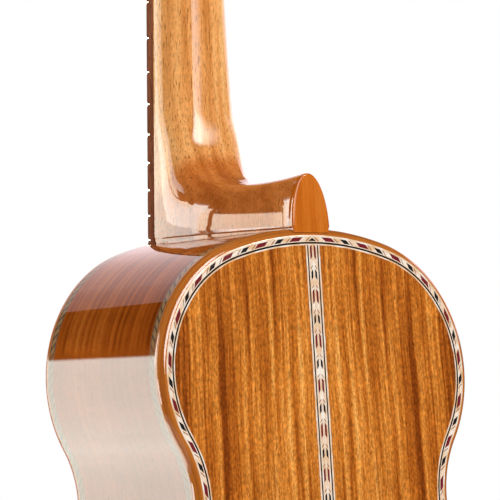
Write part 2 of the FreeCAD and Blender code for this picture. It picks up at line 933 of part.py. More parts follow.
def string_end(number):
    """The small barrel that the string's loop is wound on, behind the bridge."""
    start = string_points(number)[0]
    centre = start - V(string_end_length / 2, 0, string_end_radius)
    return Part.makeCylinder(string_end_radius, string_end_length, centre, V(1, 0, 0))


def nut_slot(number):
    """The room that a string's line leaves in the nut, open to the front."""
    points = string_points(number)
    half_width = string_diameters[number] / 2 + string_gap
    drop = V(0, half_width, 0)
    lift = V(0, -nut_height, 0)
    slots = []
    for first, second in ((points[2], points[3]), (points[3], points[4])):
        along = (second - first).normalize()
        start = points[3] - along * nut_thickness * 2 if first == points[2] else points[3]
        end = points[3] if first == points[2] else points[3] + along * nut_thickness * 2
        sideways = V(half_width, 0, 0)
        face = closed_face([start + drop - sideways, end + drop - sideways,
                            end + lift - sideways, start + lift - sideways])
        slots.append(face.extrude(sideways * 2))
    return slots[0].fuse(slots[1])


def biarc(start, start_way, end, end_way):
    """Two tangent arcs between two points with given directions."""
    reach = end - start
    ways = start_way + end_way
    a, b, c = ways.dot(ways) - 4, -2 * reach.dot(ways), reach.dot(reach)
    length = (-b - math.sqrt(b * b - 4 * a * c)) / (2 * a)
    first_corner, last_corner = start + start_way * length, end - end_way * length
    joint = (first_corner + last_corner) / 2
    arcs = []
    for here, corner, there in ((start, first_corner, joint), (joint, last_corner, end)):
        middle = (here + there) / 2
        turn = (corner - here).getAngle(there - corner)
        share = math.cos(turn / 2) * math.tan(turn / 4) / math.sin(turn / 2)
        arcs.append(Part.Arc(here, middle + (corner - middle) * share, there).toShape())
    return arcs


def winding(number):
    """The turns of a string on its post, one unbroken helix that climbs to the string's hole."""
    x, up, edge = tuner_places()[number]
    diameter = string_diameters[number]
    pitch = diameter + winding_gap
    radius = winding_radius(number)
    foot = winding_foot(number)

    def helix_point(turn):
        angle = edge * (math.pi / 2 - 2 * math.pi * turn)
        return V(x + radius * math.cos(angle), up + radius * math.sin(angle), foot + pitch * turn)

    def helix_way(turn):
        angle = edge * (math.pi / 2 - 2 * math.pi * turn)
        across = -edge * 2 * math.pi * radius
        return V(-across * math.sin(angle), across * math.cos(angle), pitch).normalize()

    edges = []
    quarters = 4 * winding_turns
    for step in range(quarters):
        first, last = step / 4, (step + 1) / 4
        edges += biarc(helix_point(first), helix_way(first), helix_point(last), helix_way(last))
    path = Part.Wire(edges)
    profile = Part.Wire(Part.makeCircle(diameter / 2, helix_point(0), helix_way(0)))
    turns = path.makePipeShell([profile], True)
    samples = path.discretize(Number=16 * quarters)
    apart = [(a - b).Length for i, a in enumerate(samples) for b in samples[i + 12 :]]
    print("string", number + 1, "turns", winding_turns, "least gap to itself", round(min(apart) - diameter, 3))
    return on_head(turns)


# Tuning machines, in the head's own frame


tooth_pitch = 2 * math.pi * gear_pitch_radius / gear_teeth
centre_distance = gear_pitch_radius + worm_pitch_radius
worm_outer_radius = worm_pitch_radius + tooth_addendum
worm_root_radius = worm_pitch_radius - tooth_addendum - tooth_root_clearance
worm_half_length = worm_turns * tooth_pitch / 2 + worm_end_length
plate_back = -(head_thickness + plate_thickness)
gear_level = plate_back - worm_outer_radius - worm_gap
gear_front = gear_level + gear_width / 2
gear_back = gear_level - gear_width / 2
lug_inner = worm_half_length + running_clearance
lug_outer = lug_inner + lug_thickness
gear_outer_radius = gear_pitch_radius + tooth_addendum
upper_screw_up = gear_outer_radius + plate_screw_gap + plate_screw_head_radius
lower_screw_up = -(centre_distance + worm_outer_radius + plate_screw_gap + plate_screw_head_radius)
plate_top = gear_outer_radius + plate_top_margin
plate_foot = lower_screw_up - plate_screw_head_radius - plate_screw_gap


def half_tooth(share, distance):
    """Half a tooth's width at a distance outside the pitch line."""
    return share * tooth_pitch / 2 - distance * math.tan(math.radians(tooth_flank_angle))


def worm_thread():
    """The worm's thread on its core, along X, with a gap in the thread facing the gear's nearest tooth."""
    length = worm_turns * tooth_pitch
    helix = Part.makeHelix(tooth_pitch, length, worm_root_radius)
    root = -tooth_addendum - tooth_root_clearance - tooth_root_clearance / 2
    ends = [(root, -1), (tooth_addendum, -1), (tooth_addendum, 1), (root, 1)]
    points = [V(worm_pitch_radius + d, 0, s * half_tooth(worm_tooth_share, d)) for d, s in ends]
    profile = Part.makePolygon(points + [points[0]])
    thread = Part.Wire(helix.Edges).makePipeShell([profile], True, True)
    core = Part.makeCylinder(worm_root_radius, 2 * worm_half_length, V(0, 0, length / 2 - worm_half_length))
    worm = core.fuse(thread)
    worm.translate(V(0, 0, -length / 2))
    worm.rotate(V(0, 0, 0), V(0, 1, 0), 90)
    worm.rotate(V(0, 0, 0), V(1, 0, 0), -90)
    return worm


def gear():
    """The gear wheel with its bore, its axis along z and its middle plane at z = 0."""
    lead = math.atan(tooth_pitch / (2 * math.pi * worm_pitch_radius))
    twist = gear_width * math.tan(lead) / gear_pitch_radius

    def outline(z, turn):
        points = []
        for tooth in range(gear_teeth):
            middle = 2 * math.pi * tooth / gear_teeth + turn - math.pi / 2
            for distance, way in (
                (-tooth_addendum - tooth_root_clearance, -1),
                (tooth_addendum, -1),
                (tooth_addendum, 1),
                (-tooth_addendum - tooth_root_clearance, 1),
            ):
                radius = gear_pitch_radius + distance
                angle = middle + way * half_tooth(gear_tooth_share, distance) / radius
                points.append(V(radius * math.cos(angle), radius * math.sin(angle), z))
        return Part.makePolygon(points + [points[0]])

    low, high = outline(-gear_width / 2, -twist / 2), outline(gear_width / 2, twist / 2)
    wheel = Part.makeLoft([low, high], True, True)
    return wheel.cut(Part.makeCylinder(gear_bore_radius, 2 * gear_width, V(0, 0, -gear_width)))


def placed(shape, number):
    """Moves a tuner's piece to its post's place on the head."""
    x, up, _ = tuner_places()[number]
    moved = shape.copy()
    moved.translate(V(x, up, 0))
    return on_head(moved)


def tuner_gear(number):
    """The gear and the screw that holds it on the post."""
    wheel = gear()
    wheel.translate(V(0, 0, gear_level))
    head = Part.makeCylinder(gear_screw_head_radius, gear_screw_head_height,
                             V(0, 0, gear_back - gear_screw_head_height))
    slot_width = gear_screw_head_radius * slot_share
    slot = box(-gear_screw_head_radius, gear_screw_head_radius, -slot_width / 2, slot_width / 2,
               gear_back - gear_screw_head_height, gear_back - gear_screw_head_height / 2)
    shank = Part.makeCylinder(gear_screw_radius, gear_screw_length, V(0, 0, gear_back))
    screw = fused([head.cut(slot), shank])
    return Part.makeCompound([placed(wheel, number), placed(screw, number)])


def tuner_post(number):
    """The post: barrel, waist for the turns, cap, and a tenon for the gear."""
    waist_start = head_veneer_thickness + bushing_flange_thickness + post_cap_height / 2
    barrel = Part.makeCylinder(post_radius, waist_start - gear_front, V(0, 0, gear_front))
    waist = Part.makeCylinder(post_waist_radius, post_height - waist_start, V(0, 0, waist_start))
    cap = Part.makeCylinder(post_radius, post_cap_height, V(0, 0, post_height - post_cap_height))
    tenon = Part.makeCylinder(gear_bore_radius, gear_width, V(0, 0, gear_back))
    post = fused([barrel, waist, cap, tenon])
    post = post.cut(rod(post_hole_radius, V(-2 * post_radius, 0, post_hole_height),
                        V(2 * post_radius, 0, post_hole_height)))
    post = post.cut(Part.makeCylinder(gear_screw_radius, gear_screw_length, V(0, 0, gear_back)))
    return placed(post, number)


def head_edge(up):
    """Half the head's width at a height, along its straight edge."""
    share = (up - head_flare_height) / (head_shoulder_height - head_flare_height)
    return head_lower_half_width + (head_upper_half_width - head_lower_half_width) * share


def button_start(number):
    """How far the button begins from its post's axis."""
    _, up, _ = tuner_places()[number]
    return head_edge(up) - tuner_offset_width + button_gap


def along_shaft(shape, number):
    """Turns a piece drawn for the treble edge to its own edge, and puts it on the worm's axis."""
    _, _, edge = tuner_places()[number]
    moved = shape.copy()
    if edge < 0:
        moved.rotate(V(0, 0, 0), V(0, 0, 1), 180)
    moved.translate(V(0, -centre_distance, gear_level))
    return placed(moved, number)


def tuner_worm(number):
    """The worm with its shaft, the collar at its inner end and the ferrule under its button."""
    start = button_start(number)
    ferrule_start = start - ferrule_length
    inner = V(-lug_outer - running_clearance - shaft_collar_length, 0, 0)
    shaft = rod(worm_shaft_radius, inner, V(start + button_socket_depth, 0, 0))
    collar = rod(shaft_collar_radius, inner, inner + V(shaft_collar_length, 0, 0))
    wide_end = V(ferrule_start, 0, 0)
    ferrule = Part.makeCone(shaft_collar_radius, ferrule_radius, ferrule_length, wide_end, V(1, 0, 0))
    worm = worm_thread()
    worm.translate(V(0, -centre_distance, gear_level))
    return along_shaft(shaft.fuse([collar, ferrule]), number).fuse(placed(worm, number))


def tuner_button(number):
    """The oval button, drilled for the shaft."""
    start = button_start(number)
    centre = V(start + button_length / 2, 0, -button_thickness / 2)
    oval = Part.Ellipse(V(0, 0, 0), button_length / 2, button_height / 2)
    body = Part.Face(Part.Wire(oval.toShape())).extrude(V(0, 0, button_thickness))
    body.translate(centre)
    rims = [edge for edge in body.Edges if edge.BoundBox.ZLength < button_thickness / 2]
    body = body.makeFillet(button_edge_radius, rims)
    neck = Part.makeCone(ferrule_radius, button_thickness / 2, button_length / 4, V(start, 0, 0), V(1, 0, 0))
    body = body.fuse(neck).cut(box(start - button_length, start, -deep, deep, -deep, deep))
    body = body.cut(rod(worm_shaft_radius, V(start - overrun_length, 0, 0), V(start + button_socket_depth, 0, 0)))
    return along_shaft(body, number)


def rounded_plate(x0, x1, y0, y1, z0, z1, radius):
    """A flat plate with round corners."""
    plate = box(x0, x1, y0, y1, z0, z1)
    uprights = [edge for edge in plate.Edges if edge.BoundBox.ZLength > (z1 - z0) / 2]
    return plate.makeFillet(radius, uprights)


def tuner_plates():
    """The four base plates, each with two lugs that carry the worm's shaft."""
    plates = []
    for number in range(len(string_diameters)):
        plate = rounded_plate(-plate_width / 2, plate_width / 2, plate_foot, plate_top,
                              plate_back, -head_thickness, plate_corner_radius)
        for side_way in (1, -1):
            x0, x1 = sorted((side_way * lug_inner, side_way * lug_outer))
            foot = box(x0, x1, -centre_distance - lug_width / 2, -centre_distance + lug_width / 2,
                       gear_level, -head_thickness)
            eye = rod(lug_width / 2, V(x0, -centre_distance, gear_level), V(x1, -centre_distance, gear_level))
            plate = plate.fuse([foot, eye])
        hole = rod(worm_shaft_radius + running_clearance, V(-plate_width, -centre_distance, gear_level),
                   V(plate_width, -centre_distance, gear_level))
        plate = plate.cut(hole).cut(Part.makeCylinder(post_radius + running_clearance, head_thickness,
                                                      V(0, 0, plate_back - plate_thickness)))
        for up in (upper_screw_up, lower_screw_up):
            plate = plate.cut(Part.makeCylinder(plate_screw_radius, head_thickness,
                                                V(0, up, plate_back - plate_thickness)))
        plates.append(placed(plate.removeSplitter(), number))
    return Part.makeCompound(plates)


def plate_screw(up):
    """A wood screw with a domed, slotted head, on the back of a plate."""
    dome = Part.makeCylinder(plate_screw_head_radius, plate_screw_head_height,
                             V(0, up, plate_back - plate_screw_head_height))
    slot_width = plate_screw_head_radius * slot_share
    slot = box(-plate_screw_head_radius, plate_screw_head_radius, up - slot_width / 2, up + slot_width / 2,
               plate_back - plate_screw_head_height, plate_back - plate_screw_head_height / 2)
    shank = Part.makeCylinder(plate_screw_radius, plate_screw_length, V(0, up, plate_back))
    return fused([dome.cut(slot), shank])


def plate_screws():
    screws = []
    for number in range(len(string_diameters)):
        for up in (upper_screw_up, lower_screw_up):
            screws.append(placed(plate_screw(up), number))
    return Part.makeCompound(screws)


def plate_screw_holes():
    """Pilot holes in the head, each the size of the shank that fills it."""
    holes = []
    for number in range(len(string_diameters)):
        for up in (upper_screw_up, lower_screw_up):
            shank = Part.makeCylinder(plate_screw_radius, plate_screw_length, V(0, up, plate_back))
            holes.append(placed(shank, number))
    return Part.makeCompound(holes)


def bushings():
    """The front bushings: a sleeve in the head's bore with a flange on the veneer."""
    sleeves = []
    for number in range(len(string_diameters)):
        sleeve = Part.makeCylinder(post_radius + bushing_wall_thickness, bushing_length,
                                   V(0, 0, head_veneer_thickness - bushing_length))
        flange = Part.makeCylinder(bushing_flange_radius, bushing_flange_thickness,
                                   V(0, 0, head_veneer_thickness))
        bore = Part.makeCylinder(post_radius + running_clearance, 2 * bushing_length, V(0, 0, -bushing_length))
        sleeves.append(placed(fused([sleeve, flange]).cut(bore), number))
    return Part.makeCompound(sleeves)


def head_veneer():
    plate = head_outline(0.0, head_veneer_thickness)
    for x, up, _ in tuner_places():
        plate = plate.cut(Part.makeCylinder(post_radius + bushing_wall_thickness, 2 * head_thickness,
                                            V(x, up, -head_thickness)))
    veneer = on_head(plate)
    return veneer.cut(box(-deep, deep, -deep, deep, 0, nut_thickness))


def main():
    os.makedirs("parts", exist_ok=True)
    neck, heel_cap = neck_solids()
    front_binding, back_binding = bindings()
    front_inlay, back_inlay = side_inlays()
    front_lining, back_lining = linings()
    heel_block, tail_block = blocks()
    front_band = band(binding_width, binding_width + edge_band_width, 0, edge_band_depth)
    nodes = {
        "soundboard": soundboard(),
        "rosette": rosette(),
        "soundhole_patch": soundhole_patch(),
        "front_edge_inlay": both_halves(front_band),
        "front_binding": both_halves(front_binding),
        "back_binding": both_halves(back_binding),
        "front_side_inlay": both_halves(front_inlay),
        "back_side_inlay": both_halves(back_inlay),
        "side_treble": side(1),
        "side_bass": side(-1),
        "back_treble": back_plate(1),
        "back_bass": back_plate(-1),
        "back_edge_inlay": both_halves(back_edge_band()),
        "back_centre_strip": centre_strip(),
        "front_lining": front_lining,
        "back_lining": back_lining,
        "heel_block": heel_block,
        "tail_block": tail_block,
        "back_braces": back_braces(),
        "top_braces": top_braces(),
        "fan_braces": fan_braces(),
        "bridge_patch": bridge_patch(),
        "back_seam_strip": seam_strip(),
        "neck": neck,
        "heel_cap": heel_cap,
        "head_veneer": head_veneer(),
        "fingerboard": fingerboard(),
        "frets": frets(),
        "fret_markers": markers(),
        "nut": nut(),
        "bridge": bridge(),
        "saddle": saddle(),
        "string_ends": Part.makeCompound([string_end(number) for number in range(len(string_diameters))]),
        "tuner_plates": tuner_plates(),
        "tuner_plate_screws": plate_screws(),
        "tuner_bushings": bushings(),
    }
    for number in range(len(string_diameters)):
        label = str(number + 1)
        nodes["string_" + label] = string(number)
        nodes["string_winding_" + label] = winding(number)
        nodes["tuner_post_" + label] = tuner_post(number)
        nodes["tuner_gear_" + label] = tuner_gear(number)
        nodes["tuner_worm_" + label] = tuner_worm(number)
        nodes["tuner_button_" + label] = tuner_button(number)
    for name, shape in nodes.items():
        whole = all(solid.isValid() and solid.Volume > 0 for solid in shape.Solids)
        print(name, "solids", len(shape.Solids), "volume", round(shape.Volume, 1), "" if whole else "BAD")
        shape.exportStep(os.path.join("parts", name + ".step"))


main()
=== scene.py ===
import bmesh
import bpy
import math
from mathutils import Matrix, Vector


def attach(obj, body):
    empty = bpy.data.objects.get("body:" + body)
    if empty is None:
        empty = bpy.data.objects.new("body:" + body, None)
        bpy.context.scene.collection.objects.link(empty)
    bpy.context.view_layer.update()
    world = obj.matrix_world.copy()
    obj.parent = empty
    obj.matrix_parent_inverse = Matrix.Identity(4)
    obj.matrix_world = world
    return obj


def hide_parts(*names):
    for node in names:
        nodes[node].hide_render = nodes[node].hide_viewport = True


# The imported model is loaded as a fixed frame. Lengths here are in metres, in its frame.
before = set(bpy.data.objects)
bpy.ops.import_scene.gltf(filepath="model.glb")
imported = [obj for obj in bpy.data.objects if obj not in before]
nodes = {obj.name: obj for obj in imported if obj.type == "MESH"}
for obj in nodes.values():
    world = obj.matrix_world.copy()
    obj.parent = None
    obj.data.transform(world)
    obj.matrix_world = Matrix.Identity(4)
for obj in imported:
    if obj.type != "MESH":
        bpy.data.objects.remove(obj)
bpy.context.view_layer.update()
scene = bpy.context.scene
mm = 0.001

# Sizes that the drawn pieces share with the model
joint_z = -170.0 * mm
body_length = 275.0 * mm
upper_bout_width, upper_bout_drop, upper_bout_radius = 161.0 * mm, 58.9875 * mm, 55.0 * mm
waist_width = 132.0 * mm
lower_bout_width, lower_bout_drop, lower_bout_radius = 208.0 * mm, 193.0 * mm, 64.0 * mm
depth_at_neck, depth_gain_share, back_arch_radius = 78.7 * mm, 0.046, 2100.0 * mm
side_thickness, back_thickness, binding_height = 2.2 * mm, 2.6 * mm, 4.2 * mm
edge_band_width, edge_band_depth = 4.8 * mm, 1.3 * mm
edge_roll = 3.5 * mm
side_inlay_height, side_inlay_depth = 3.2 * mm, 0.7 * mm
centre_strip_width, centre_strip_depth = 7.4 * mm, 1.3 * mm
nut_width, nut_thickness, joint_width = 30.0 * mm, 5.0 * mm, 40.5 * mm
neck_depth_at_nut, neck_depth_at_heel = 12.8 * mm, 13.6 * mm
heel_height, heel_waist_height, heel_waist_y = 22.5 * mm, 18.6 * mm, 38.0 * mm
heel_cap_width, heel_cap_thickness = 19.6 * mm, 2.5 * mm
heel_fillet_depth, heel_fillet_height = 18.0 * mm, 30.0 * mm
head_angle = math.radians(12.0)
soundhole_z, rosette_radius, rosette_width = -266.0 * mm, 33.0 * mm, 9.0 * mm
halvings, neck_halvings = 80, 40


# Materials are written as sums and products of terms, each one an output of a node. A finished
# material is kept under its name.
materials = {}


def node_of(operation, swapped=False):
    """A method of a term that adds one node of arithmetic."""

    def method(self, *others):
        return self.do(operation, *((*others, self) if swapped else (self, *others)))
    return method


class Term:
    def __init__(self, paint, socket):
        self.paint = paint
        self.socket = socket

    def do(self, operation, *values):
        node = self.paint.add("Math", operation=operation)
        for value, socket in zip(values, node.inputs):
            self.paint.join(value, socket)
        return Term(self.paint, node.outputs[0])

    __add__, __sub__, __mul__ = node_of("ADD"), node_of("SUBTRACT"), node_of("MULTIPLY")
    __radd__, __rsub__ = node_of("ADD", True), node_of("SUBTRACT", True)
    __rmul__, __truediv__ = node_of("MULTIPLY", True), node_of("DIVIDE")
    __mod__, __abs__ = node_of("FLOORED_MODULO"), node_of("ABSOLUTE")
    below, above, larger = node_of("LESS_THAN"), node_of("GREATER_THAN"), node_of("MAXIMUM")

    def within(self, low, high):
        return self.above(low) * self.below(high)

    def fade(self, low, high):
        """0 under low and 1 over high, smooth between them."""
        node = self.paint.add("MapRange", interpolation_type="SMOOTHSTEP")
        self.paint.join(self, node.inputs["Value"])
        node.inputs["From Min"].default_value = low
        node.inputs["From Max"].default_value = high
        return Term(self.paint, node.outputs["Result"])


class Nodes:
    """The nodes of a material or of the world."""

    def __init__(self, tree):
        self.tree = tree

    def add(self, kind, **settings):
        node = self.tree.nodes.new("ShaderNode" + kind)
        for key, value in settings.items():
            setattr(node, key, value)
        return node

    def join(self, value, socket):
        if isinstance(value, Term):
            self.tree.links.new(value.socket, socket)
        else:
            socket.default_value = value

    def feed(self, node, **inputs):
        for key, value in inputs.items():
            self.join(value, node.inputs[key])


class Paint(Nodes):
    """One material and its nodes."""

    def __init__(self, name, **shader):
        self.name = name
        self.material = bpy.data.materials.new(name)
        self.material.use_nodes = True
        super().__init__(self.material.node_tree)
        self.set(shader)

    def set(self, shader):
        """Sets or joins the shader's inputs, which are written in small letters."""
        inputs = self.tree.nodes["Principled BSDF"].inputs
        for key, value in shader.items():
            self.join(value, inputs[key.replace("_", " ").title().replace("Ior", "IOR")])

    def axes(self, output):
        split = self.add("SeparateXYZ")
        self.tree.links.new(self.add("TexCoord").outputs[output], split.inputs[0])
        return [Term(self, axis) for axis in split.outputs]

    def place(self):
        """The point's own place, as three terms."""
        return self.axes("Object")

    def strip(self):
        """How far along and how far across a strip a point lies."""
        return self.axes("UV")[:2]

    def vector(self, x, y, z):
        node = self.add("CombineXYZ")
        for value, socket in zip((x, y, z), node.inputs):
            self.join(value, socket)
        return Term(self, node.outputs[0])

    def noise(self, point, scales, detail=2.0, roughness=0.5, distortion=0.0):
        scaled = [axis * scale for axis, scale in zip(point, scales)]
        node = self.add("TexNoise")
        self.feed(node, Vector=self.vector(*scaled), Scale=1.0, Detail=detail, Roughness=roughness,
                  Distortion=distortion)
        return Term(self, node.outputs["Fac"])

    def flat_noise(self, u, v, u_scale, v_scale, detail=2.0):
        """Noise on a strip or on a plate."""
        return self.noise((u, v, 0.0 * u), (u_scale, v_scale, 1.0), detail)

    def mix(self, share, one, other):
        node = self.add("Mix", data_type="RGBA")
        self.join(share, node.inputs[0])
        for value, socket in ((one, node.inputs[6]), (other, node.inputs[7])):
            self.join(value if isinstance(value, Term) else (*value, 1.0), socket)
        return Term(self, node.outputs[2])

    def multiply(self, colour, share):
        node = self.add("VectorMath", operation="SCALE")
        self.join(colour, node.inputs[0])
        self.join(share, node.inputs["Scale"])
        return Term(self, node.outputs[0])

    def ramp(self, value, stops):
        node = self.add("ValToRGB")
        elements = node.color_ramp.elements
        while len(elements) < len(stops):
            elements.new(0.5)
        for element, (position, colour) in zip(elements, stops):
            element.position = position
            element.color = (*colour, 1.0)
        self.join(value, node.inputs[0])
        return Term(self, node.outputs["Color"])

    def steps(self, value, stops):
        """A ramp that jumps from colour to colour."""
        colour = self.ramp(value, stops)
        colour.socket.node.color_ramp.interpolation = "CONSTANT"
        return colour

    def tint(self, colour, shares):
        node = self.add("VectorMath", operation="MULTIPLY")
        self.join(colour, node.inputs[0])
        node.inputs[1].default_value = shares
        return Term(self, node.outputs[0])

    def bump(self, height, distance, strength=1.0, soft_edge=0.0):
        node = self.add("Bump")
        self.feed(node, Strength=strength, Distance=distance, Height=height)
        if soft_edge:
            edge = self.add("Bevel", samples=4)
            edge.inputs["Radius"].default_value = soft_edge
            self.tree.links.new(edge.outputs[0], node.inputs["Normal"])
        return Term(self, node.outputs["Normal"])

    def finish(self, colour, **shader):
        self.set(dict(shader, base_color=colour))
        materials[self.name] = self.material
        return self.material


lacquer = dict(roughness=0.5, specular_ior_level=0.0, coat_weight=1.0, coat_roughness=0.03, coat_ior=1.5)
unlacquered = dict(roughness=0.75, specular_ior_level=0.0)

# Scales of noise are waves a metre: across the grain, deep and along it. A layer of the grain has the
# first two as shares of its broadest streaks, and its detail last.
grain_layers = ((1.0, 0.4, 3.5, 2.0), (4.0, 1.3, 9.0, 3.0), (15.0, 5.0, 38.0, 2.0))
sway_scales, flame_scales, mottle_scales = (7.0, 7.0, 11.0), (15.0, 15.0, 85.0), (1100.0, 1100.0, 650.0)
pore_scales, skin_scales = (2300.0, 2300.0, 230.0), (55.0, 55.0, 30.0)
sway_reach, pore_depth, bare_depth, ripple_depth = 6.0 * mm, 0.03 * mm, 0.3 * mm, 0.01 * mm

# Where the bent sides' figure fades as painted glare, in metres along them, and over what length
side_glare_from, glare_blend = 98.0 * mm, 6.0 * mm

# Where the painted shade on the heel begins, and where the lacquer gets thinner up the neck
heel_corner, heel_shade, heel_shade_tint = joint_z + 30.0 * mm, (9.0 * mm, 19.0 * mm), (0.74, 0.5, 0.32)
thin_coat = (joint_z + 25.0 * mm, joint_z + 70.0 * mm)


def wood(name, tones, pore, point_of, broad=95.0, length=1.0, pores=0.6, flame=0.12, gloss=True,
         fine_share=0.18, soft_edge=0.0, streaks=(), contrast=1.0, speckle=0.24, glare_from=None, heel=False):
    """Wood with broad streaks, fine grain, short dark pores and a flame across the grain.

    point_of gives the place with the grain along its third axis. A streak is a place across the grain,
    a width and a depth. The figure fades past a given length along the grain, as painted glare where
    mirrored light would wash it out. heel paints shade on a neck's heel and thins the lacquer above it.
    """
    paint = Paint(name, **(lacquer if gloss else unlacquered))
    across, deep, along = point_of(paint)

    def waves(point, scales, detail):
        return paint.noise(point, (scales[0], scales[1], scales[2] * length), detail)

    sway = waves((across, deep, along), sway_scales, 1.0)
    across = across + (sway - 0.5) * sway_reach
    point = (across, deep, along)
    value = 0.0
    for (wide, thick, tall, detail), weight in zip(grain_layers, (0.6 - fine_share, 0.4, fine_share)):
        value = value + waves(point, (broad * wide, broad * thick, tall), detail) * weight
    value = (value - 0.5) * contrast
    # Painted glare: the figure fades past a given length along the grain, where mirrored light would wash it
    # out.
    if glare_from:
        value = value * (1.0 - along.fade(glare_from, glare_from + glare_blend) * 0.75)
    value = value + 0.5
    for place, width, depth in streaks:
        value = value - (1.0 - abs(across - place).fade(0.0, width)) * depth
    colour = paint.ramp(value, tones)
    bands = waves(point, flame_scales, 1.5)
    mottle = waves(point, mottle_scales, 2.0)
    colour = paint.multiply(colour, 1.0 + (bands - 0.5) * flame * 2.0 + (mottle - 0.5) * speckle)
    dash = waves(point, pore_scales, 1.0)
    colour = paint.mix(dash.fade(0.6, 0.7) * pores, colour, pore)
    if heel:
        # Painted shade: the heel below the neck's corner gets a darker, warmer tint.
        inward = deep - along + heel_corner
        colour = paint.mix(inward.fade(*heel_shade), colour, paint.tint(colour, heel_shade_tint))
        paint.set(dict(coat_weight=1.0 - along.fade(*thin_coat) * 0.4))
    if gloss:
        skin = paint.noise(point, skin_scales, 1.0)
        return paint.finish(colour, normal=paint.bump(dash, pore_depth, 0.3),
                            coat_normal=paint.bump(skin, ripple_depth, 1.0, soft_edge))
    return paint.finish(colour, roughness=0.5 + mottle * 0.25,
                        normal=paint.bump(value + dash * 0.4, bare_depth, 0.5))


def halves(paint):
    """The place on a plate cut from one board and opened like a book."""
    x, y, z = paint.place()
    return abs(x), y, z


def cross_grain(paint):
    x, y, z = paint.place()
    return z, y, x


def bent_grain(paint):
    u, v = paint.strip()
    return v, 0.0 * v, u


def three_tones(dark, middle, light, low=0.38, high=0.62):
    """Colours of the dark, the middle and the light grain, and where dark and light lie."""
    return [(low, dark), (0.5, middle), (high, light)]


koa_tones = [(0.36, (0.2, 0.04, 0.003)), (0.43, (0.36, 0.088, 0.008)), (0.5, (0.5, 0.148, 0.016)),
             (0.56, (0.64, 0.225, 0.034)), (0.64, (0.78, 0.34, 0.075))]
koa_pore, rosewood_pore = (0.15, 0.032, 0.004), (0.015, 0.006, 0.004)
back_streaks = ((50.5 * mm, 2.2 * mm, 0.14), (47.5 * mm, 5.0 * mm, 0.07),
                (37.0 * mm, 3.0 * mm, 0.06), (73.5 * mm, 9.0 * mm, 0.13))
wood("koa_back", koa_tones, koa_pore, halves, broad=125.0, streaks=back_streaks, contrast=1.2, speckle=1.8)
wood("koa_side", three_tones((0.18, 0.032, 0.002), (0.34, 0.072, 0.006), (0.47, 0.125, 0.015)),
     koa_pore, bent_grain, flame=0.3, speckle=0.5, glare_from=side_glare_from)
wood("koa_head", koa_tones, koa_pore, Paint.place, soft_edge=0.4 * mm)
wood("binding", three_tones((0.24, 0.055, 0.008), (0.42, 0.12, 0.016), (0.52, 0.17, 0.03)),
     koa_pore, bent_grain, broad=260.0, pores=0.25, flame=0.08)
wood("heel_cap", three_tones((0.42, 0.09, 0.006), (0.54, 0.13, 0.009), (0.6, 0.17, 0.02)),
     (0.3, 0.06, 0.01), Paint.place, broad=120.0, pores=0.2, flame=0.06)
wood("neck", three_tones((0.56, 0.2, 0.042), (0.78, 0.34, 0.1), (0.88, 0.47, 0.17)),
     (0.24, 0.075, 0.016), Paint.place, broad=75.0, pores=0.8, flame=0.07, speckle=0.7, heel=True)
wood("spruce", three_tones((0.52, 0.26, 0.08), (0.72, 0.45, 0.18), (0.79, 0.54, 0.25), low=0.36),
     (0.6, 0.34, 0.12), Paint.place, broad=150.0, length=0.25, pores=0.1, flame=0.05, fine_share=0.3)
wood("inner_cedar", three_tones((0.34, 0.17, 0.08), (0.46, 0.25, 0.12), (0.55, 0.32, 0.17), 0.36, 0.64),
     (0.2, 0.09, 0.04), Paint.place, gloss=False)
wood("inner_spruce", three_tones((0.5, 0.33, 0.16), (0.66, 0.47, 0.26), (0.74, 0.57, 0.34), 0.36, 0.64),
     (0.5, 0.32, 0.16), cross_grain, gloss=False, pores=0.1)
# The fingerboard's tones are partly its own colour and partly painted sheen: lighter than bare rosewood, they
# stand in for the reflection its zero specular leaves out.
wood("rosewood", three_tones((0.1, 0.03, 0.016), (0.2, 0.066, 0.03), (0.3, 0.1, 0.05), 0.36, 0.64),
     rosewood_pore, Paint.place, gloss=False, broad=160.0, pores=0.8)
wood("rosewood_across",
     three_tones((0.035, 0.013, 0.007), (0.085, 0.032, 0.018), (0.16, 0.06, 0.03), 0.36, 0.64),
     rosewood_pore, cross_grain, gloss=False, broad=160.0, pores=0.8)

# Inlays: where tiles and slashes begin and end in a repeat, and the outer rim that looks like binding
ink, maroon, brown_line = (0.012, 0.011, 0.013), (0.16, 0.014, 0.02), (0.2, 0.055, 0.022)
tile_repeat, ring_start, strip_start = 18.2 * mm, 2.7 * mm, 1.0
maroon_tile, black_tile = (0.0, 5.2 * mm), (9.8 * mm, 13.1 * mm)
slashes = (6.2 * mm, 6.8 * mm), (14.2 * mm, 14.8 * mm)
hidden_rim, rim_colour = 0.7 * mm, (0.46, 0.14, 0.02)
rope_repeat, rope_slant = 4.2 * mm, 1.2


def tiles(along, across, slant):
    """Which points lie on the maroon tiles, the black tiles and the thin slashes of a border."""
    at = (along + across * slant) % tile_repeat
    return at.within(*maroon_tile), at.within(*black_tile), at.within(*slashes[0]) + at.within(*slashes[1])


def inlay_base(paint, along, across):
    """Cream veneer with small changes from piece to piece."""
    patch = paint.flat_noise(along, across, 160.0, 600.0, 1.0)
    tones = three_tones((0.7, 0.44, 0.24), (0.78, 0.58, 0.42), (0.84, 0.76, 0.66), 0.35, 0.65)
    return paint.ramp(patch, tones)


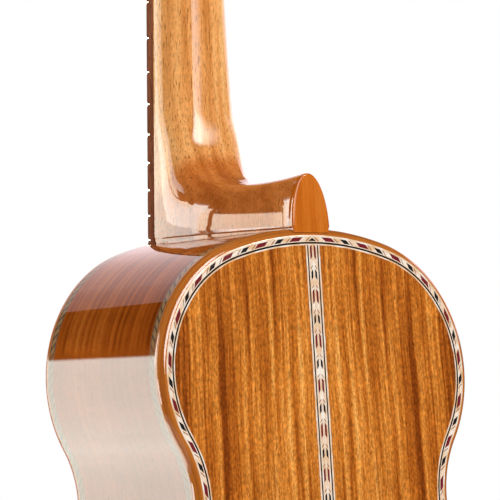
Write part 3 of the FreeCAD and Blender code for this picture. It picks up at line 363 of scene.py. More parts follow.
def border_material(name, column, slant, line, centred):
    """A border of cream with slanted tiles in a column across it, and with a black line."""
    paint = Paint(name, **lacquer)
    if centred:
        x, _, z = paint.place()
        along, across = z + strip_start, abs(x)
    else:
        along, across = paint.strip()
        along = along - ring_start + tile_repeat
    colour = inlay_base(paint, along, across)
    dark_red, black, slash = tiles(along, across, slant)
    inside = across.within(*column)
    speck = paint.flat_noise(along, across, 900.0, 2500.0)
    colour = paint.mix(slash * inside, colour, brown_line)
    colour = paint.mix(dark_red * inside, colour, maroon)
    colour = paint.mix(black * inside, colour, ink)
    colour = paint.mix(across.within(*line), colour, ink)
    if not centred:
        colour = paint.mix(across.below(hidden_rim), colour, rim_colour)
    colour = paint.multiply(colour, 0.86 + speck * 0.28)
    skin = paint.flat_noise(along, across, 60.0, 60.0, 1.0)
    paint.finish(colour, roughness=0.35 + speck * 0.2, coat_normal=paint.bump(skin, ripple_depth))


def rope_material(name, width):
    """A strip of slanted pale and dark veneers between two thin lines."""
    paint = Paint(name, **lacquer)
    along, across = paint.strip()
    turn = (along + across * rope_slant) % rope_repeat
    tone = paint.steps(turn / rope_repeat, [
        (0.0, (0.32, 0.18, 0.07)), (0.25, (0.36, 0.2, 0.1)), (0.5, (0.2, 0.11, 0.05)),
        (0.7, (0.08, 0.045, 0.03)), (0.85, (0.26, 0.16, 0.08))])
    # Painted glare: past a length down the side, the pattern and its dark lines fade into one brown, where
    # mirrored light would wash them out.
    glare = along.fade(side_glare_from, side_glare_from + glare_blend) * 0.7
    tone = paint.mix(glare, tone, (0.3, 0.105, 0.035))
    edge = abs(across / width - 0.5)
    colour = paint.mix(edge.within(0.34, 0.43) * (1.0 - glare), tone, (0.03, 0.028, 0.025))
    colour = paint.mix(edge.above(0.43), colour, (0.26, 0.2, 0.14))
    speck = paint.flat_noise(along, across, 700.0, 2500.0)
    paint.finish(paint.multiply(colour, 0.8 + speck * 0.4), roughness=0.4 + speck * 0.2)


border_material("edge_border", (1.5 * mm, 3.1 * mm), -1.4, (3.45 * mm, 4.2 * mm), False)
border_material("centre_border", (0.5 * mm, 1.5 * mm), 1.3, (2.25 * mm, 2.9 * mm), True)
rope_material("rope", side_inlay_height)


def rosette_material(name, tiles_round, slant):
    """Rings round the soundhole: a rope of slanted tiles between thin lines."""
    paint = Paint(name, **lacquer)
    x, _, z = paint.place()
    z = z - soundhole_z
    square = x * x + z * z
    radius = square.do("SQRT", square)
    angle = x.do("ARCTAN2", x, z)
    share = (radius - rosette_radius) / rosette_width
    turn = (angle * tiles_round + share * slant) % 1.0
    tone = paint.steps(turn, [(0.0, (0.66, 0.5, 0.3)), (0.3, (0.16, 0.014, 0.02)), (0.5, (0.66, 0.5, 0.3)),
                              (0.8, (0.03, 0.03, 0.03))])
    edge = abs(share - 0.5)
    colour = paint.mix(edge.above(0.26), tone, (0.62, 0.45, 0.26))
    colour = paint.mix(edge.within(0.31, 0.38), colour, ink)
    speck = paint.flat_noise(x, z, 1400.0, 1400.0)
    paint.finish(paint.multiply(colour, 0.85 + speck * 0.3), roughness=0.35 + speck * 0.2)


rosette_material("rosette", 14.0, 0.8)


def metal(name, light, dark, roughness, soft_edge=0.2 * mm, wound=0.0):
    """Metal with fine marks, and with turns of wire along it where wound is their pitch, with painted shade
    in the grooves between them.
    """
    paint = Paint(name, metallic=1.0)
    point = paint.place()
    marks = paint.noise(point, (1400.0, 1400.0, 210.0), 3.0, 0.6)
    cloud = paint.noise(point, (180.0, 180.0, 180.0), 2.0)
    colour = paint.mix(cloud.fade(0.35, 0.7), light, dark)
    height, depth = marks, 0.01 * mm
    if wound:
        height, depth = abs((point[2] / wound) % 1.0 - 0.5) * 2.0, 0.1 * mm
        # Painted shade: the colour darkens where the turns dip, in the grooves between them.
        colour = paint.multiply(colour, 0.55 + height * 0.5)
    paint.finish(colour, roughness=roughness + marks * 0.12,
                 normal=paint.bump(height, depth, 0.6, soft_edge))


metal("chrome", (0.78, 0.78, 0.8), (0.66, 0.66, 0.69), 0.03)
metal("nickel", (0.72, 0.7, 0.66), (0.6, 0.58, 0.54), 0.12)
metal("steel", (0.58, 0.58, 0.6), (0.42, 0.42, 0.44), 0.18)
metal("brass", (0.78, 0.56, 0.24), (0.6, 0.4, 0.15), 0.16)
metal("string_steel", (0.72, 0.72, 0.72), (0.6, 0.6, 0.6), 0.1, soft_edge=0.0)
metal("string_wound", (0.68, 0.6, 0.48), (0.5, 0.43, 0.33), 0.2, soft_edge=0.0, wound=0.3 * mm)


def smooth_body(name, light, dark, roughness, depth, swirl, soft_edge=0.4 * mm):
    """Bone, pearl or plastic, with clouds and fine marks."""
    paint = Paint(name, coat_weight=0.4, coat_roughness=0.05, subsurface_weight=depth,
                  subsurface_radius=(2.0 * mm, 1.5 * mm, 1.0 * mm))
    point = paint.place()
    cloud = paint.noise(point, (swirl, swirl, swirl), 3.0, 0.5, 1.2)
    marks = paint.noise(point, (1800.0, 900.0, 1800.0), 2.0)
    colour = paint.mix(cloud.fade(0.35, 0.65), light, dark)
    colour = paint.multiply(colour, 0.95 + marks * 0.1)
    paint.finish(colour, roughness=roughness + marks * 0.1,
                 normal=paint.bump(marks, 0.01 * mm, 0.3, soft_edge))


smooth_body("bone", (0.8, 0.74, 0.6), (0.7, 0.62, 0.46), 0.25, 0.15, 140.0)
smooth_body("pearl", (0.74, 0.76, 0.72), (0.6, 0.66, 0.68), 0.12, 0.1, 500.0, 0.0)
smooth_body("button_plastic", (0.8, 0.76, 0.66), (0.74, 0.68, 0.55), 0.15, 0.2, 90.0)


# Building pieces


def sheet(name, points, faces, material):
    mesh = bpy.data.meshes.new(name)
    mesh.from_pydata([tuple(point) for point in points], [], faces)
    mesh.materials.append(material)
    return bpy.data.objects.new(name, mesh)


def piece(name, points, faces, material, replaces, uv=(), body="instrument", sharp=35.0):
    thing = sheet(name, points, faces, materials[material])
    mesh = thing.data
    if uv:
        layer = mesh.uv_layers.new(name="strip")
        for loop in mesh.loops:
            layer.data[loop.index].uv = uv[loop.vertex_index]
    tidy = bmesh.new()
    tidy.from_mesh(mesh)
    bmesh.ops.recalc_face_normals(tidy, faces=tidy.faces)
    tidy.to_mesh(mesh)
    tidy.free()
    mesh.polygons.foreach_set("use_smooth", [True] * len(mesh.polygons))
    mesh.set_sharp_from_angle(angle=math.radians(sharp))
    scene.collection.objects.link(thing)
    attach(thing, body)
    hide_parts(*replaces)


def skin_rings(rings, start=0):
    """Faces between neighbouring closed rings of points, with a face over each end."""
    count = len(rings[0])
    faces = []
    for i in range(len(rings) - 1):
        a, b = start + i * count, start + (i + 1) * count
        for j in range(count):
            k = (j + 1) % count
            faces.append((a + j, a + k, b + k, b + j))
    faces.append(tuple(start + j for j in range(count)))
    end = start + (len(rings) - 1) * count
    faces.append(tuple(end + j for j in reversed(range(count))))
    return faces


# Outline of the sound box


def outline_centres():
    upper_x, upper_z = upper_bout_width / 2 - upper_bout_radius, -upper_bout_drop
    shoulder = (upper_x**2 + upper_z**2 - upper_bout_radius**2) / (-2 * (upper_z + upper_bout_radius))
    lower_x, lower_z = lower_bout_width / 2 - lower_bout_radius, -lower_bout_drop
    rise = lower_z + body_length
    tail = (lower_x**2 + rise**2 - lower_bout_radius**2) / (2 * (rise - lower_bout_radius))
    near_upper, near_lower = waist_width / 2 - upper_x, waist_width / 2 - lower_x

    def reach(radius):
        up = math.sqrt((upper_bout_radius - near_upper) * (near_upper + upper_bout_radius + 2 * radius))
        down = math.sqrt((lower_bout_radius - near_lower) * (near_lower + lower_bout_radius + 2 * radius))
        return up, down

    low, high = 0.0, 4 * body_length
    for _ in range(halvings):
        middle = (low + high) / 2
        low, high = (middle, high) if sum(reach(middle)) < upper_z - lower_z else (low, middle)
    waist = (low + high) / 2
    return [(0.0, -shoulder, shoulder), (upper_x, upper_z, upper_bout_radius),
            (waist_width / 2 + waist, upper_z - reach(waist)[0], -waist),
            (lower_x, lower_z, lower_bout_radius), (0.0, tail - body_length, tail)]


def outline_samples(step):
    """Points down one side of the outline: the arc's centre, its signed radius and the outward direction."""
    centres = outline_centres()
    turns = [math.pi / 2]
    for (ax, az, ar), (bx, bz, br) in zip(centres, centres[1:]):
        sign = 1 if (ar > 0 and br > 0 and ar > br) or (ar > 0 and br < 0) else -1
        turns.append(math.atan2(sign * (bz - az), sign * (bx - ax)))
    turns.append(-math.pi / 2)
    samples = []
    for index, (cx, cz, radius) in enumerate(centres):
        first, last = turns[index], turns[index + 1]
        count = max(2, math.ceil(abs(radius) * abs(last - first) / step))
        for i in range(count + (index == len(centres) - 1)):
            turn = first + (last - first) * i / count
            samples.append((cx, cz, radius, math.cos(turn), math.sin(turn)))
    return samples


samples = outline_samples(1.4 * mm)
roll_steps, side_steps, plate_columns, strip_columns, strip_steps = 12, 12, 28, 8, 90
side_grain_width = 74.0 * mm


def outline_point(sample, inset):
    cx, cz, radius, nx, nz = sample
    return cx + nx * (radius - inset), joint_z + cz + nz * (radius - inset)


def lengths_along(inset):
    total, out, before = 0.0, [], None
    for sample in samples:
        here = outline_point(sample, inset)
        total += math.dist(here, before) if before else 0.0
        out.append(total)
        before = here
    return out


def back_y(x, z, depth=0.0):
    """Where the arched back's surface lies, less a depth measured square to it."""
    slope = math.sqrt(1 + depth_gain_share**2)
    out_y, out_z = 1 / slope, depth_gain_share / slope
    fall = math.sqrt((back_arch_radius - depth) ** 2 - x * x) - back_arch_radius
    return depth_at_neck + (fall - (z - joint_z) * out_z) / out_y


def swept_strip(profile, inset_for_length, sides):
    """A strip that follows the outline.

    profile has the points of its closed section: how far each lies in from the outline, a function for its
    height, and how far across the strip it is.
    """
    points, faces, uv = [], [], []
    distances = lengths_along(inset_for_length)
    for side in sides:
        rings = []
        for sample, distance in zip(samples, distances):
            ring = []
            for inset, depth_of, across in profile:
                x, z = outline_point(sample, inset)
                ring.append((side * max(x, 0.0), depth_of(x, z), z))
                uv.append((distance, across))
            rings.append(ring)
        faces += skin_rings(rings, len(points))
        for ring in rings:
            points += ring
    return points, faces, uv


def at_y(y):
    return lambda x, z: y


def under_back(depth):
    return lambda x, z: back_y(x, z, depth)


def rolled_depth(inset):
    """How deep the worn edge of the box lies under a face, at a distance in from its side."""
    towards = max(1 - inset / edge_roll, 0.0)
    return edge_roll * (1 - math.sqrt(1 - towards**2))


def rounded_binding(level):
    """A binding's section with its outer corner rounded. level turns a depth under the face into a height."""
    start = math.asin(1 - side_thickness / edge_roll)
    profile = []
    for step in range(roll_steps + 1):
        turn = start + (math.pi / 2 - start) * step / roll_steps
        height = level(edge_roll * (1 - math.cos(turn)))
        profile.append((edge_roll * (1 - math.sin(turn)), height, edge_roll * turn))
    foot = edge_roll * math.pi / 2 + binding_height - edge_roll
    profile.append((0.0, level(binding_height), foot))
    profile.append((side_thickness, level(binding_height), foot + side_thickness))
    return profile


def add_strip(name, profile, inset, material, node, sides=(1, -1)):
    points, faces, uv = swept_strip(profile, inset, sides)
    piece(name, points, faces, material, [node], uv)


both_faces = (("back", under_back), ("front", at_y))
for face, level in both_faces:
    add_strip(face + "_binding_rounded", rounded_binding(level), 0.0, "binding", face + "_binding")

inner_edge = side_thickness + edge_band_width
for face, level in both_faces:
    rolled = [side_thickness + (edge_roll - side_thickness) * step / 5 for step in range(6)]
    add_strip(face + "_edge_marquetry",
              [(inset, level(rolled_depth(inset)), inset - side_thickness) for inset in rolled] +
              [(inner_edge, level(0.0), edge_band_width),
               (inner_edge, level(edge_band_depth), edge_band_width + edge_band_depth),
               (side_thickness, level(edge_band_depth), -edge_band_depth)],
              side_thickness + edge_band_width / 2, "edge_border", face + "_edge_inlay")
    low, high = binding_height, binding_height + side_inlay_height
    add_strip(face + "_side_rope",
              [(0.0, level(low), 0.0), (0.0, level(high), side_inlay_height),
               (side_inlay_depth, level(high), side_inlay_height + side_inlay_depth),
               (side_inlay_depth, level(low), -side_inlay_depth)],
              0.0, "rope", face + "_side_inlay")

# The bent sides run from rope to rope, with a tongue behind each.
channel = binding_height + side_inlay_height


def between(share):
    return lambda x, z: channel + (back_y(x, z, channel) - channel) * share


for name, side in (("side_treble", 1), ("side_bass", -1)):
    profile = [(side_thickness, at_y(binding_height), -4.0 * mm),
               (side_inlay_depth, at_y(binding_height), -2.0 * mm),
               (side_inlay_depth, at_y(channel), -1.0 * mm), (0.0, at_y(channel), 0.0)]
    profile += [(0.0, between(step / side_steps), side_grain_width * step / side_steps)
                for step in range(1, side_steps)]
    profile += [(0.0, under_back(channel), side_grain_width),
                (side_inlay_depth, under_back(channel), side_grain_width + 1.0 * mm),
                (side_inlay_depth, under_back(binding_height), side_grain_width + 2.0 * mm),
                (side_thickness, under_back(binding_height), side_grain_width + 4.0 * mm)]
    add_strip(name + "_bent", profile, 0.0, "koa_side", name, (side,))


# Back plates and centre strip


def back_rows(x_from, x_to_of, z_values, columns, depth):
    rows = []
    for z in z_values:
        x_to = x_to_of(z)
        row = []
        for column in range(columns + 1):
            x = x_from + (x_to - x_from) * column / columns
            row.append((x, back_y(x, z, depth), z))
        rows.append(row)
    return rows


def slab(rows_out, rows_in, side=1):
    """A closed plate between an outer and an inner sheet of rows."""
    columns = len(rows_out[0])
    points = [(side * x, y, z) for row in rows_out + rows_in for x, y, z in row]
    shift = len(rows_out) * columns
    faces = []
    for i in range(len(rows_out) - 1):
        for j in range(columns - 1):
            a = i * columns + j
            faces.append((a, a + 1, a + columns + 1, a + columns))
            faces.append((shift + a, shift + a + columns, shift + a + columns + 1, shift + a + 1))
    rim = [i * columns for i in range(len(rows_out))]
    rim += [(len(rows_out) - 1) * columns + j for j in range(1, columns)]
    rim += [i * columns + columns - 1 for i in reversed(range(len(rows_out) - 1))]
    rim += [j for j in reversed(range(1, columns - 1))]
    for a, b in zip(rim, rim[1:] + rim[:1]):
        faces.append((a, b, shift + b, shift + a))
    return points, faces


edge_points = [outline_point(sample, inner_edge) for sample in samples]
strip_half = centre_strip_width / 2
plate_edge = [(x, z) for x, z in edge_points if x > strip_half + 0.05 * mm]


def edge_x(z):
    for (ax, az), (bx, bz) in zip(plate_edge, plate_edge[1:]):
        if bz <= z <= az:
            return ax + (bx - ax) * (az - z) / (az - bz)
    return plate_edge[0][0] if z > plate_edge[0][1] else plate_edge[-1][0]


z_rows = [z for _, z in plate_edge]
for name, side in (("back_treble", 1), ("back_bass", -1)):
    points, faces = slab(*(back_rows(strip_half, edge_x, z_rows, plate_columns, depth)
                           for depth in (0.0, back_thickness)), side)
    piece(name + "_plate", points, faces, "koa_back", [name])

top_z, bottom_z = edge_points[0][1], edge_points[-1][1]
strip_rows = [top_z + (bottom_z - top_z) * step / strip_steps for step in range(strip_steps + 1)]
points, faces = slab(*(back_rows(-strip_half, lambda z: strip_half, strip_rows, strip_columns, depth)
                       for depth in (0.0, centre_strip_depth)))
piece("centre_marquetry", points, faces, "centre_border", ["back_centre_strip"])


# Neck and heel


def neck_half_width(z):
    return (nut_width + (joint_width - nut_width) * z / joint_z) / 2


pivot_y = neck_depth_at_heel + heel_fillet_depth
pivot_z = joint_z + heel_height + heel_fillet_height
around, shaft_rings, corner_rings, heel_rings = 56, 50, 60, 24
skirt_into_box, foot_round = 1.8 * mm, 0.45 * mm

# How square the neck's section is at the nut, the shaft's end, the heel and its cap: 2 is an ellipse.
nut_power, shaft_power, heel_power, cap_power, corner_bulge = 2.35, 2.7, 3.5, 2.1, 1.3
taper_power, rise_power, bend_power = 1.5, 1.6, 3
far_reach = 60.0 * mm


def heel_half_width(y):
    share = min(y / depth_at_neck, 1.0)
    end = heel_cap_width / 2
    return end + (joint_width / 2 - end) * (1 - share**2) ** taper_power


def sweep_share(high):
    """How far the spine stands off a straight limb, at a height over the corner in limb depths."""
    return math.sqrt((high**2 + 1) / (high**2 - 1))


shaft_limb = neck_depth_at_nut / sweep_share(-joint_z / heel_waist_height)
heel_limb_end = heel_height / sweep_share(depth_at_neck / shaft_limb)


def skin_share(y, z):
    """0 on the glue plane and the joint, 1 on the spine of neck and heel, and smooth round the corner."""
    rise = max(0.0, (y - heel_waist_y) / (depth_at_neck - heel_waist_y)) ** rise_power
    deep = y / shaft_limb
    high = (z - joint_z) / (heel_waist_height + (heel_limb_end - heel_waist_height) * rise)
    if deep <= 0 or high <= 0:
        return 0.0
    return deep * high / math.sqrt(deep**2 + high**2 + 1)


def neck_ring(base_y, base_z, way_y, way_z, power, reach):
    """A ring of the neck's skin in the plane that runs from a base point along a direction."""

    def place(share):
        low, high = 0.0, reach
        for _ in range(neck_halvings):
            middle = (low + high) / 2
            here = skin_share(base_y + way_y * middle, base_z + way_z * middle)
            low, high = (middle, high) if here < share else (low, middle)
        return base_y + way_y * low, base_z + way_z * low

    flank = []
    for step in range(around // 2 + 1):
        turn = math.pi * step / around
        share = math.sin(turn) ** (2 / power)
        y, z = place(share)
        half_width = neck_half_width(z) * heel_half_width(y) / (joint_width / 2)
        flank.append(Vector((half_width * math.cos(turn) ** (2 / power) if share < 1 else 0.0, y, z)))
    at_joint = min(max(base_y, 0.0) / mm, 1.0)
    skirt, round_in = skirt_into_box * math.ceil(at_joint), foot_round * at_joint
    side = flank[0].x
    foot = []
    for inward, rise in ((1.0, -skirt), (1.0, 0.0), (0.3, foot_round * 0.7), (0.0, foot_round * 1.5)):
        foot.append(Vector((side - round_in * inward, base_y + way_y * rise, base_z + way_z * rise)))
    half = foot + flank[1:]
    return half + [Vector((-point.x, point.y, point.z)) for point in reversed(half[:-1])]


def shaft_ring(z):
    square = (z / pivot_z) ** 6
    return neck_ring(0.0, z, 1.0, 0.0, nut_power + (shaft_power - nut_power) * square, far_reach)


def corner_ring(share):
    """A ring in a plane through the pivot, turned by a share of a right angle."""
    turn = math.pi / 2 * share
    way_y, way_z = math.cos(turn), math.sin(turn)
    to_face = pivot_y / way_y
    to_joint = (pivot_z - joint_z) / way_z if share > 0 else to_face + 1
    reach = min(to_face, to_joint)
    bulge = corner_bulge * math.sin(math.pi * share) ** 2
    power = shaft_power + bulge + (heel_power - shaft_power) * share
    return neck_ring(pivot_y - way_y * reach, pivot_z - way_z * reach, way_y, way_z, power, reach)


def heel_ring(share, depth):
    """A ring of the straight heel, at a share of its way to the back's surface less a depth."""
    ring = []
    for start in neck_ring(depth_at_neck, joint_z, 0.0, 1.0, cap_power, far_reach):
        ring.append(Vector((start.x, back_y(start.x, start.z, depth), start.z)))
    if share == 1:
        return ring
    height = pivot_y + (depth_at_neck - pivot_y) * share
    power = heel_power - (heel_power - cap_power) * share
    level = neck_ring(height, joint_z, 0.0, 1.0, power, far_reach)
    bend = share**bend_power
    return [Vector((here.x, here.y + (there.y - depth_at_neck) * bend, here.z))
            for here, there in zip(level, ring)]


rings = [shaft_ring(pivot_z * step / shaft_rings) for step in range(shaft_rings)]
rings += [corner_ring(step / corner_rings) for step in range(corner_rings)]
rings += [heel_ring(step / heel_rings, heel_cap_thickness) for step in range(heel_rings + 1)]
points = [point for ring in rings for point in ring]
faces = skin_rings(rings)

# The head and its root come from the model's own mesh, cut at the nut.
head = bmesh.new()
head.from_mesh(nodes["neck"].data)
bmesh.ops.remove_doubles(head, verts=head.verts, dist=0.002 * mm)
bmesh.ops.bisect_plane(head, geom=head.verts[:] + head.edges[:] + head.faces[:], plane_co=(0, 0, 0),
                       plane_no=(0, 0, 1), clear_inner=True)
head.verts.ensure_lookup_table()
head.verts.index_update()
start = len(points)
points += [vertex.co.copy() for vertex in head.verts]
faces += [tuple(start + vertex.index for vertex in face.verts) for face in head.faces]
head.free()
piece("neck_and_heel", points, faces, "neck", ["neck"])

# The cap's outer edge is rounded, and its face has rows across from flank to flank.
cap_rings = [heel_ring(1.0, heel_cap_thickness), heel_ring(1.0, heel_cap_thickness / 2)]
rim, rim_steps, columns = 0.55 * mm, 4, 12
for step in range(rim_steps + 1):
    turn = math.pi / 2 * step / rim_steps
    ring = heel_ring(1.0, rim * (1 - math.sin(turn)))
    shrink = rim * (1 - math.cos(turn))
    moved = []
    for point in ring:
        keep = 1 - shrink / (heel_cap_width / 2)
        z = point.z - shrink * max(point.z - joint_z, 0.0) / heel_height
        moved.append(Vector((point.x * keep, point.y, z)))
    cap_rings.append(moved)
points = [point for ring in cap_rings for point in ring]
count = len(cap_rings[0])
faces = skin_rings(cap_rings)
del faces[-1]
first = (len(cap_rings) - 1) * count
top = []
for index in range((count + 1) // 2):
    a, b = cap_rings[-1][index], cap_rings[-1][count - 1 - index]
    row = [first + index]
    if index < count // 2:
        for column in range(1, columns):
            x = a.x + (b.x - a.x) * column / columns
            row.append(len(points))
            points.append(Vector((x, back_y(x, a.z, 0.0), a.z)))
        row.append(first + count - 1 - index)
    top.append(row)
for upper, lower in zip(top, top[1:]):
    if len(lower) == 1:
        faces += [(upper[j], upper[j + 1], lower[0]) for j in range(columns)]
    else:
        faces += [(upper[j], upper[j + 1], lower[j + 1], lower[j]) for j in range(columns)]
piece("heel_cap_rounded", points, faces, "heel_cap", ["heel_cap"])


# Strings wound on their posts


def head_point(x, up, out):
    s, c = math.sin(head_angle), math.cos(head_angle)
    return Vector((x, up * s - out * c, nut_thickness + up * c + out * s))


string_diameters = (0.28 * mm, 0.33 * mm, 0.58 * mm, 0.71 * mm)
post_x, low_post, high_post = 13.5 * mm, 38.0 * mm, 78.0 * mm
post_places = ((post_x, low_post, 1), (post_x, high_post, 1),
               (-post_x, high_post, -1), (-post_x, low_post, -1))
turns, winding_gap, waist_radius, hole_height, hole_radius = 3, 0.45 * mm, 2.5 * mm, 9.0 * mm, 0.9 * mm
string_gap, string_sides = 0.03 * mm, 14
turn_steps, lead_steps, tail_steps, lead_share, tail_turn = 40, 6, 8, 0.55, 0.9
for number, (diameter, (x, up, edge)) in enumerate(zip(string_diameters, post_places)):
    pitch = diameter + winding_gap
    radius = waist_radius + diameter / 2 + string_gap
    foot = hole_height - hole_radius - turns * pitch
    path = []
    for step in range(-lead_steps, turn_steps * turns + 1):
        turn = step / turn_steps
        angle = edge * (math.pi / 2 - 2 * math.pi * turn)
        away = radius + (lead_share * diameter * (step / lead_steps) ** 2 if step < 0 else 0.0)
        path.append((x + away * math.cos(angle), up + away * math.sin(angle), foot + pitch * max(turn, 0.0)))
    angle = edge * (math.pi / 2 - 2 * math.pi * turns)
    top = foot + pitch * turns
    for step in range(1, tail_steps + 1):
        share = step / tail_steps
        way = math.sin(share * math.pi / 2)
        bend = angle - edge * tail_turn * way
        inward = radius * (1 - share**2)
        path.append((x + inward * math.cos(bend), up + inward * math.sin(bend),
                     top + (hole_height - top) * way))
    line = [head_point(*point) for point in path]
    rings = []
    side = head_point(0, 0, 1) - head_point(0, 0, 0)
    for index, point in enumerate(line):
        ahead = (line[min(index + 1, len(line) - 1)] - line[max(index - 1, 0)]).normalized()
        across = ahead.cross(side).normalized()
        upward = across.cross(ahead)
        rings.append([point + (across * math.cos(t) + upward * math.sin(t)) * (diameter / 2)
                      for t in (2 * math.pi * k / string_sides for k in range(string_sides))])
    points = [point for ring in rings for point in ring]
    kind = "string_steel" if number < 2 else "string_wound"
    piece(f"wound_string_{number + 1}", points, skin_rings(rings), kind,
          [f"string_winding_{number + 1}"], body=f"post_{number + 1}", sharp=80.0)


# Materials of the model's own pieces
painted = {
    "spruce": "soundboard", "rosette": "rosette", "koa_head": "head_veneer",
    "inner_cedar": "front_lining back_lining heel_block tail_block",
    "inner_spruce": "soundhole_patch back_braces top_braces fan_braces bridge_patch back_seam_strip",
    "rosewood": "fingerboard", "rosewood_across": "bridge", "nickel": "frets", "pearl": "fret_markers",
    "bone": "nut saddle", "steel": "tuner_plate_screws", "brass": "string_ends", "button_plastic": "",
    "chrome": "tuner_plates tuner_bushings", "string_steel": "string_1 string_2",
    "string_wound": "string_3 string_4",
}
for number in (1, 2, 3, 4):
    painted["chrome"] += f" tuner_post_{number} tuner_worm_{number}"
    painted["brass"] += f" tuner_gear_{number}"
    painted["button_plastic"] += f" tuner_button_{number}"
for material, names in painted.items():
    for name in names.split():
        mesh = nodes[name].data
        mesh.materials.clear()
        mesh.materials.append(materials[material])


# Floor, lights and camera


soot, sharp_edge, one_face = (0.004, 0.004, 0.004), 0.0001, [(0, 1, 2, 3)]


def plain(name, colour):
    paint = Paint(name, roughness=0.8)
    cloud = paint.noise(paint.place(), (3.0, 3.0, 3.0), 2.0)
    return paint.finish(paint.multiply(colour, 0.98 + cloud * 0.04))


def corners(w, h, z=0.0):
    return [(-w, -h, z), (w, -h, z), (w, h, z), (-w, h, z)]


floor_z = joint_z - body_length - 0.35
floor = sheet("floor", corners(4.0, 4.0, floor_z), one_face, plain("floor", (0.86, 0.86, 0.86)))
scene.collection.objects.link(floor)

world = bpy.data.worlds.new("studio")
scene.world = world
world.use_nodes = True
sky = Nodes(world.node_tree)
rays = sky.add("LightPath").outputs
camera_ray, clear_ray, glossy_ray = (Term(sky, rays[f"Is {kind} Ray"])
                                     for kind in ("Camera", "Transmission", "Glossy"))
seen, ambient = camera_ray.larger(clear_ray).larger(glossy_ray), 0.38
background = sky.tree.nodes["Background"]
sky.join(seen * (1.0 - ambient) + ambient, background.inputs["Strength"])
background.inputs["Color"].default_value = (1.0, 1.0, 1.0, 1.0)


def aimed(thing, where, towards):
    thing.location = where
    thing.rotation_mode = "QUATERNION"
    thing.rotation_quaternion = (Vector(towards) - Vector(where)).to_track_quat("-Z", "Y")
    scene.collection.objects.link(thing)


def lamp(name, where, size, radiance):
    """A soft lamp that lights the wood itself, without a mirror image."""
    light = bpy.data.lights.new(name, "AREA")
    light.size = size
    light.energy = radiance * math.pi * size**2
    thing = bpy.data.objects.new(name, light)
    thing.visible_glossy = thing.visible_transmission = thing.visible_camera = False
    aimed(thing, where, (0, 0, -0.2))


def only_mirrored(name, points, faces, material):
    """A thing that only the lacquer and the metal see."""
    thing = sheet(name, points, faces, material)
    thing.visible_camera = thing.visible_diffuse = thing.visible_transmission = thing.visible_shadow = False
    return thing


def card(name, where, towards, width, height, strength, colour, edges=(0, 0, 0, 0), slope=0.0):
    """A bright card. Its edges left, right, below and above fade away, and slope is its change across."""
    paint = Paint(name, roughness=1.0, specular_ior_level=0.0, emission_color=(*colour, 1.0))
    x, y, _ = paint.place()
    across, up = x / width + 0.5, y / height + 0.5
    left, right, below, above = (max(edge, sharp_edge) for edge in edges)
    solid = across.fade(0.0, left) * (1.0 - across.fade(1.0 - right, 1.0))
    solid = solid * up.fade(0.0, below) * (1.0 - up.fade(1.0 - above, 1.0))
    paint.finish((*soot, 1.0), alpha=solid, emission_strength=(across - 0.5) * slope + strength)
    thing = only_mirrored(name, corners(width / 2, height / 2), one_face, paint.material)
    aimed(thing, where, towards)


def wall_card(name, x0, x1, z0, z1, *look, y=-0.9, **more):
    """A card in a wall in front of the instrument, which the lacquer of its sides mirrors."""
    middle = ((x0 + x1) / 2, y, (z0 + z1) / 2)
    card(name, middle, (middle[0], 0, middle[2]), x1 - x0, z1 - z0, *look, **more)


def ring_card(name, from_degrees, to_degrees, z0, z1, *look, reach=1.0, **more):
    """A card that stands upright on a ring round the instrument. Degrees run from +Y towards +X."""
    middle = math.radians((from_degrees + to_degrees) / 2)
    width = 2 * reach * math.tan(math.radians(abs(to_degrees - from_degrees) / 2))
    z = (z0 + z1) / 2
    where = (math.sin(middle) * reach, math.cos(middle) * reach, z)
    card(name, where, (0, 0, z), width, z1 - z0, *look, **more)


black = plain("black_card", soot)


def black_shell(name, from_degrees, to_degrees, low, high, reach=1.5, level=-0.15):
    """A part of a black ball round the instrument, between two turns and two heights in degrees."""
    wide, tall = 24, 12
    points, faces = [], []
    for i in range(tall + 1):
        up = math.radians(low + (high - low) * i / tall)
        for j in range(wide + 1):
            turn = math.radians(from_degrees + (to_degrees - from_degrees) * j / wide)
            points.append((reach * math.cos(up) * math.sin(turn), reach * math.cos(up) * math.cos(turn),
                           level + reach * math.sin(up)))
            if i and j:
                here = i * (wide + 1) + j
                faces.append((here - wide - 2, here - wide - 1, here, here - 1))
    thing = only_mirrored(name, points, faces, black)
    scene.collection.objects.link(thing)


lamp("key", (-1.0, 2.2, 1.3), 1.6, 7.0)
lamp("fill", (2.2, 0.6, 0.2), 1.6, 2.2)
lamp("front_fill", (-0.6, -2.4, 0.8), 1.8, 4.2)

pale, white, warm = (0.84, 1.0, 0.94), (1.0, 1.0, 0.96), (1.32, 1.2, 0.97)
mauve, none = (1.12, 0.96, 1.0), (0.0, 0.0, 0.0)
wall_card("low_card", 0.445, 0.835, -0.8, 0.035, 7.5, pale, (0, 0, 0, 0.05))
wall_card("low_card_right", 0.835, 1.16, -0.8, -0.09, 7.5, pale)
wall_card("band_card", 0.35, 0.79, 0.02, 0.75, 0.0, none, y=-0.91)
wall_card("mauve_card", 0.1, 0.35, -0.8, 0.7, 0.85, mauve, slope=-0.34)
wall_card("mauve_card_left", -0.45, 0.1, -0.8, 0.7, 1.27, mauve, slope=-0.26)
wall_card("mauve_card_far", -1.75, -0.45, -0.8, 0.5, 0.92, mauve, slope=0.9)
card("floor_card", (0.5, -0.5, -0.785), (0.5, -0.5, 0.0), 0.9, 0.92, 7.2, pale)
ring_card("far_card", 125.0, 141.3, -1.6, 1.75, 11.4, (0.97, 1.0, 0.93), (0, 0, 0, 0.06),
          reach=4.0, slope=-2.2)
ring_card("neck_card", 103.0, 114.5, -0.25, 0.5, 5.4, white, (0, 0.12, 0, 0.3), reach=1.25, slope=-1.2)
ring_card("heel_card", 114.4, 122.3, -0.25, 0.19, 7.2, warm, (0, 0, 0, 0.1), reach=1.25, slope=-1.6)
ring_card("waist_card", 122.3, 126.2, -0.25, 0.32, 7.8, warm, (0, 0, 0, 0.05), reach=1.25)
ring_card("edge_card", 98.0, 126.0, -0.62, -0.25, 13.0, white, (0.3, 0.1, 0.1, 0.0), reach=1.25)
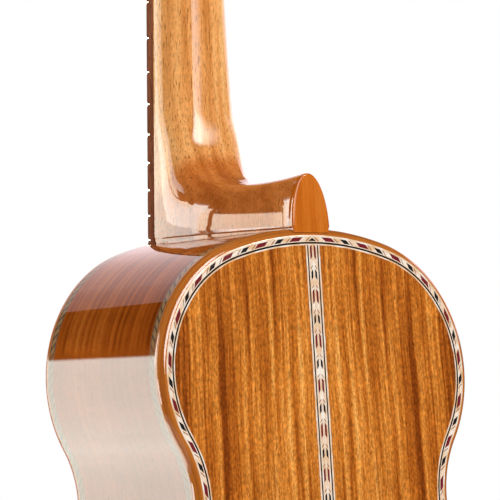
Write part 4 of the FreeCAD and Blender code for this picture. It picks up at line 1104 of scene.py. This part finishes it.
ring_card("drip_card", 122.2, 123.3, -0.8, 0.6, 0.0, none, reach=1.15)
ring_card("line_card", 138.9, 139.6, -1.6, 0.33, 0.0, none, reach=3.9)
ring_card("streak_card", -9.6, -34.0, -0.06, 0.19, 10.8, white, (0.06, 0.6, 0.2, 0.3))
ring_card("blob_card", -9.0, -43.0, 0.085, 0.305, 18.0, white, (0.22, 0.28, 0.4, 0.3), reach=0.98)
ring_card("rim_card", -58.0, -125.0, 0.09, 0.48, 2.4, mauve, (0.5, 0.1, 0.35, 0.3), reach=1.2)
ring_card("far_rim_card", -90.0, -128.0, -0.1, 0.3, 2.4, mauve, (0.2, 0, 0.2, 0.3), reach=1.25)
black_shell("black_behind", -57.0, 96.0, -70.0, 45.0)
black_shell("black_left", -128.0, -57.0, -70.0, 45.0)
black_shell("black_high_left", -150.0, -128.0, 22.0, 45.0)
black_shell("black_right", 96.0, 126.0, -70.0, 45.0)
black_shell("black_high_right", 126.0, 155.0, 27.0, 45.0, reach=4.2)
black_shell("black_top", -180.0, 180.0, 42.0, 90.0)

# The lens in the photo's pixels, and how far right and up of the view's line it aims
turn, distance, roll = math.radians(38.5), 2.119, 0.0325
lens_pixels, aim_right, aim_up = 5125, 4.69, 255.3
position = Vector((math.sin(turn) * distance, 0.035 + math.cos(turn) * distance, -0.282))
away = Vector((math.sin(turn), math.cos(turn), 0))
right = Vector((-math.cos(turn), math.sin(turn), 0))
ahead = (-away + right * (aim_right / lens_pixels) + Vector((0, 0, aim_up / lens_pixels))).normalized()
across = ahead.cross(Vector((0, 0, 1))).normalized()
upward = across.cross(ahead)
x_axis = across * math.cos(roll) - upward * math.sin(roll)
y_axis = across * math.sin(roll) + upward * math.cos(roll)
camera = bpy.data.cameras.new("camera")
camera.lens, camera.sensor_width = 369.0, 36.0
camera.clip_start, camera.clip_end = 0.05, 50.0
camera_object = bpy.data.objects.new("camera", camera)
scene.collection.objects.link(camera_object)
pose = Matrix((x_axis, y_axis, -ahead)).transposed().to_4x4()
pose.translation = position
camera_object.matrix_world = pose
scene.camera = camera_object
scene.view_settings.view_transform = "Standard"


def edge_glint(name, bends, turns, gap, strength):
    """A bright strip close over the rounded edge of the box, which mirrors it as a thin line.

    bends are turns of the edge away from the back's face, and turns those of the outline above level,
    in degrees. The strip runs out to a point at both ends.
    """
    paint = Paint(name, roughness=1.0, specular_ior_level=0.0, emission_color=(1.0, 1.0, 1.0, 1.0),
                  emission_strength=strength)
    middle, half, run_out = (bends[0] + bends[1]) / 2, (bends[1] - bends[0]) / 2, 12
    points = []
    for sample in samples:
        _, cz, _, nx, nz = sample
        turn = math.degrees(math.asin(nz))
        if cz < -upper_bout_drop - mm or not turns[0] <= turn <= turns[1]:
            continue
        share = min((turn - turns[0]) / run_out, (turns[1] - turn) / run_out, 1.0)
        for bend in (middle - half * share, middle + half * share):
            s, c = math.sin(math.radians(bend)), math.cos(math.radians(bend))
            x, z = outline_point(sample, edge_roll * (1 - s))
            spot = Vector((x, back_y(x, z, edge_roll * (1 - c)), z))
            normal = Vector((nx * s, c, nz * s))
            view = (position - spot).normalized()
            points.append(spot + (2 * normal.dot(view) * normal - view) * gap)
    faces = [(i, i + 1, i + 3, i + 2) for i in range(0, len(points) - 2, 2)]
    thing = only_mirrored(name, points, faces, paint.finish((*soot, 1.0)))
    scene.collection.objects.link(thing)


edge_glint("edge_glint", (18.5, 31.5), (-1.0, 70.0), 4.0 * mm, 16.0)
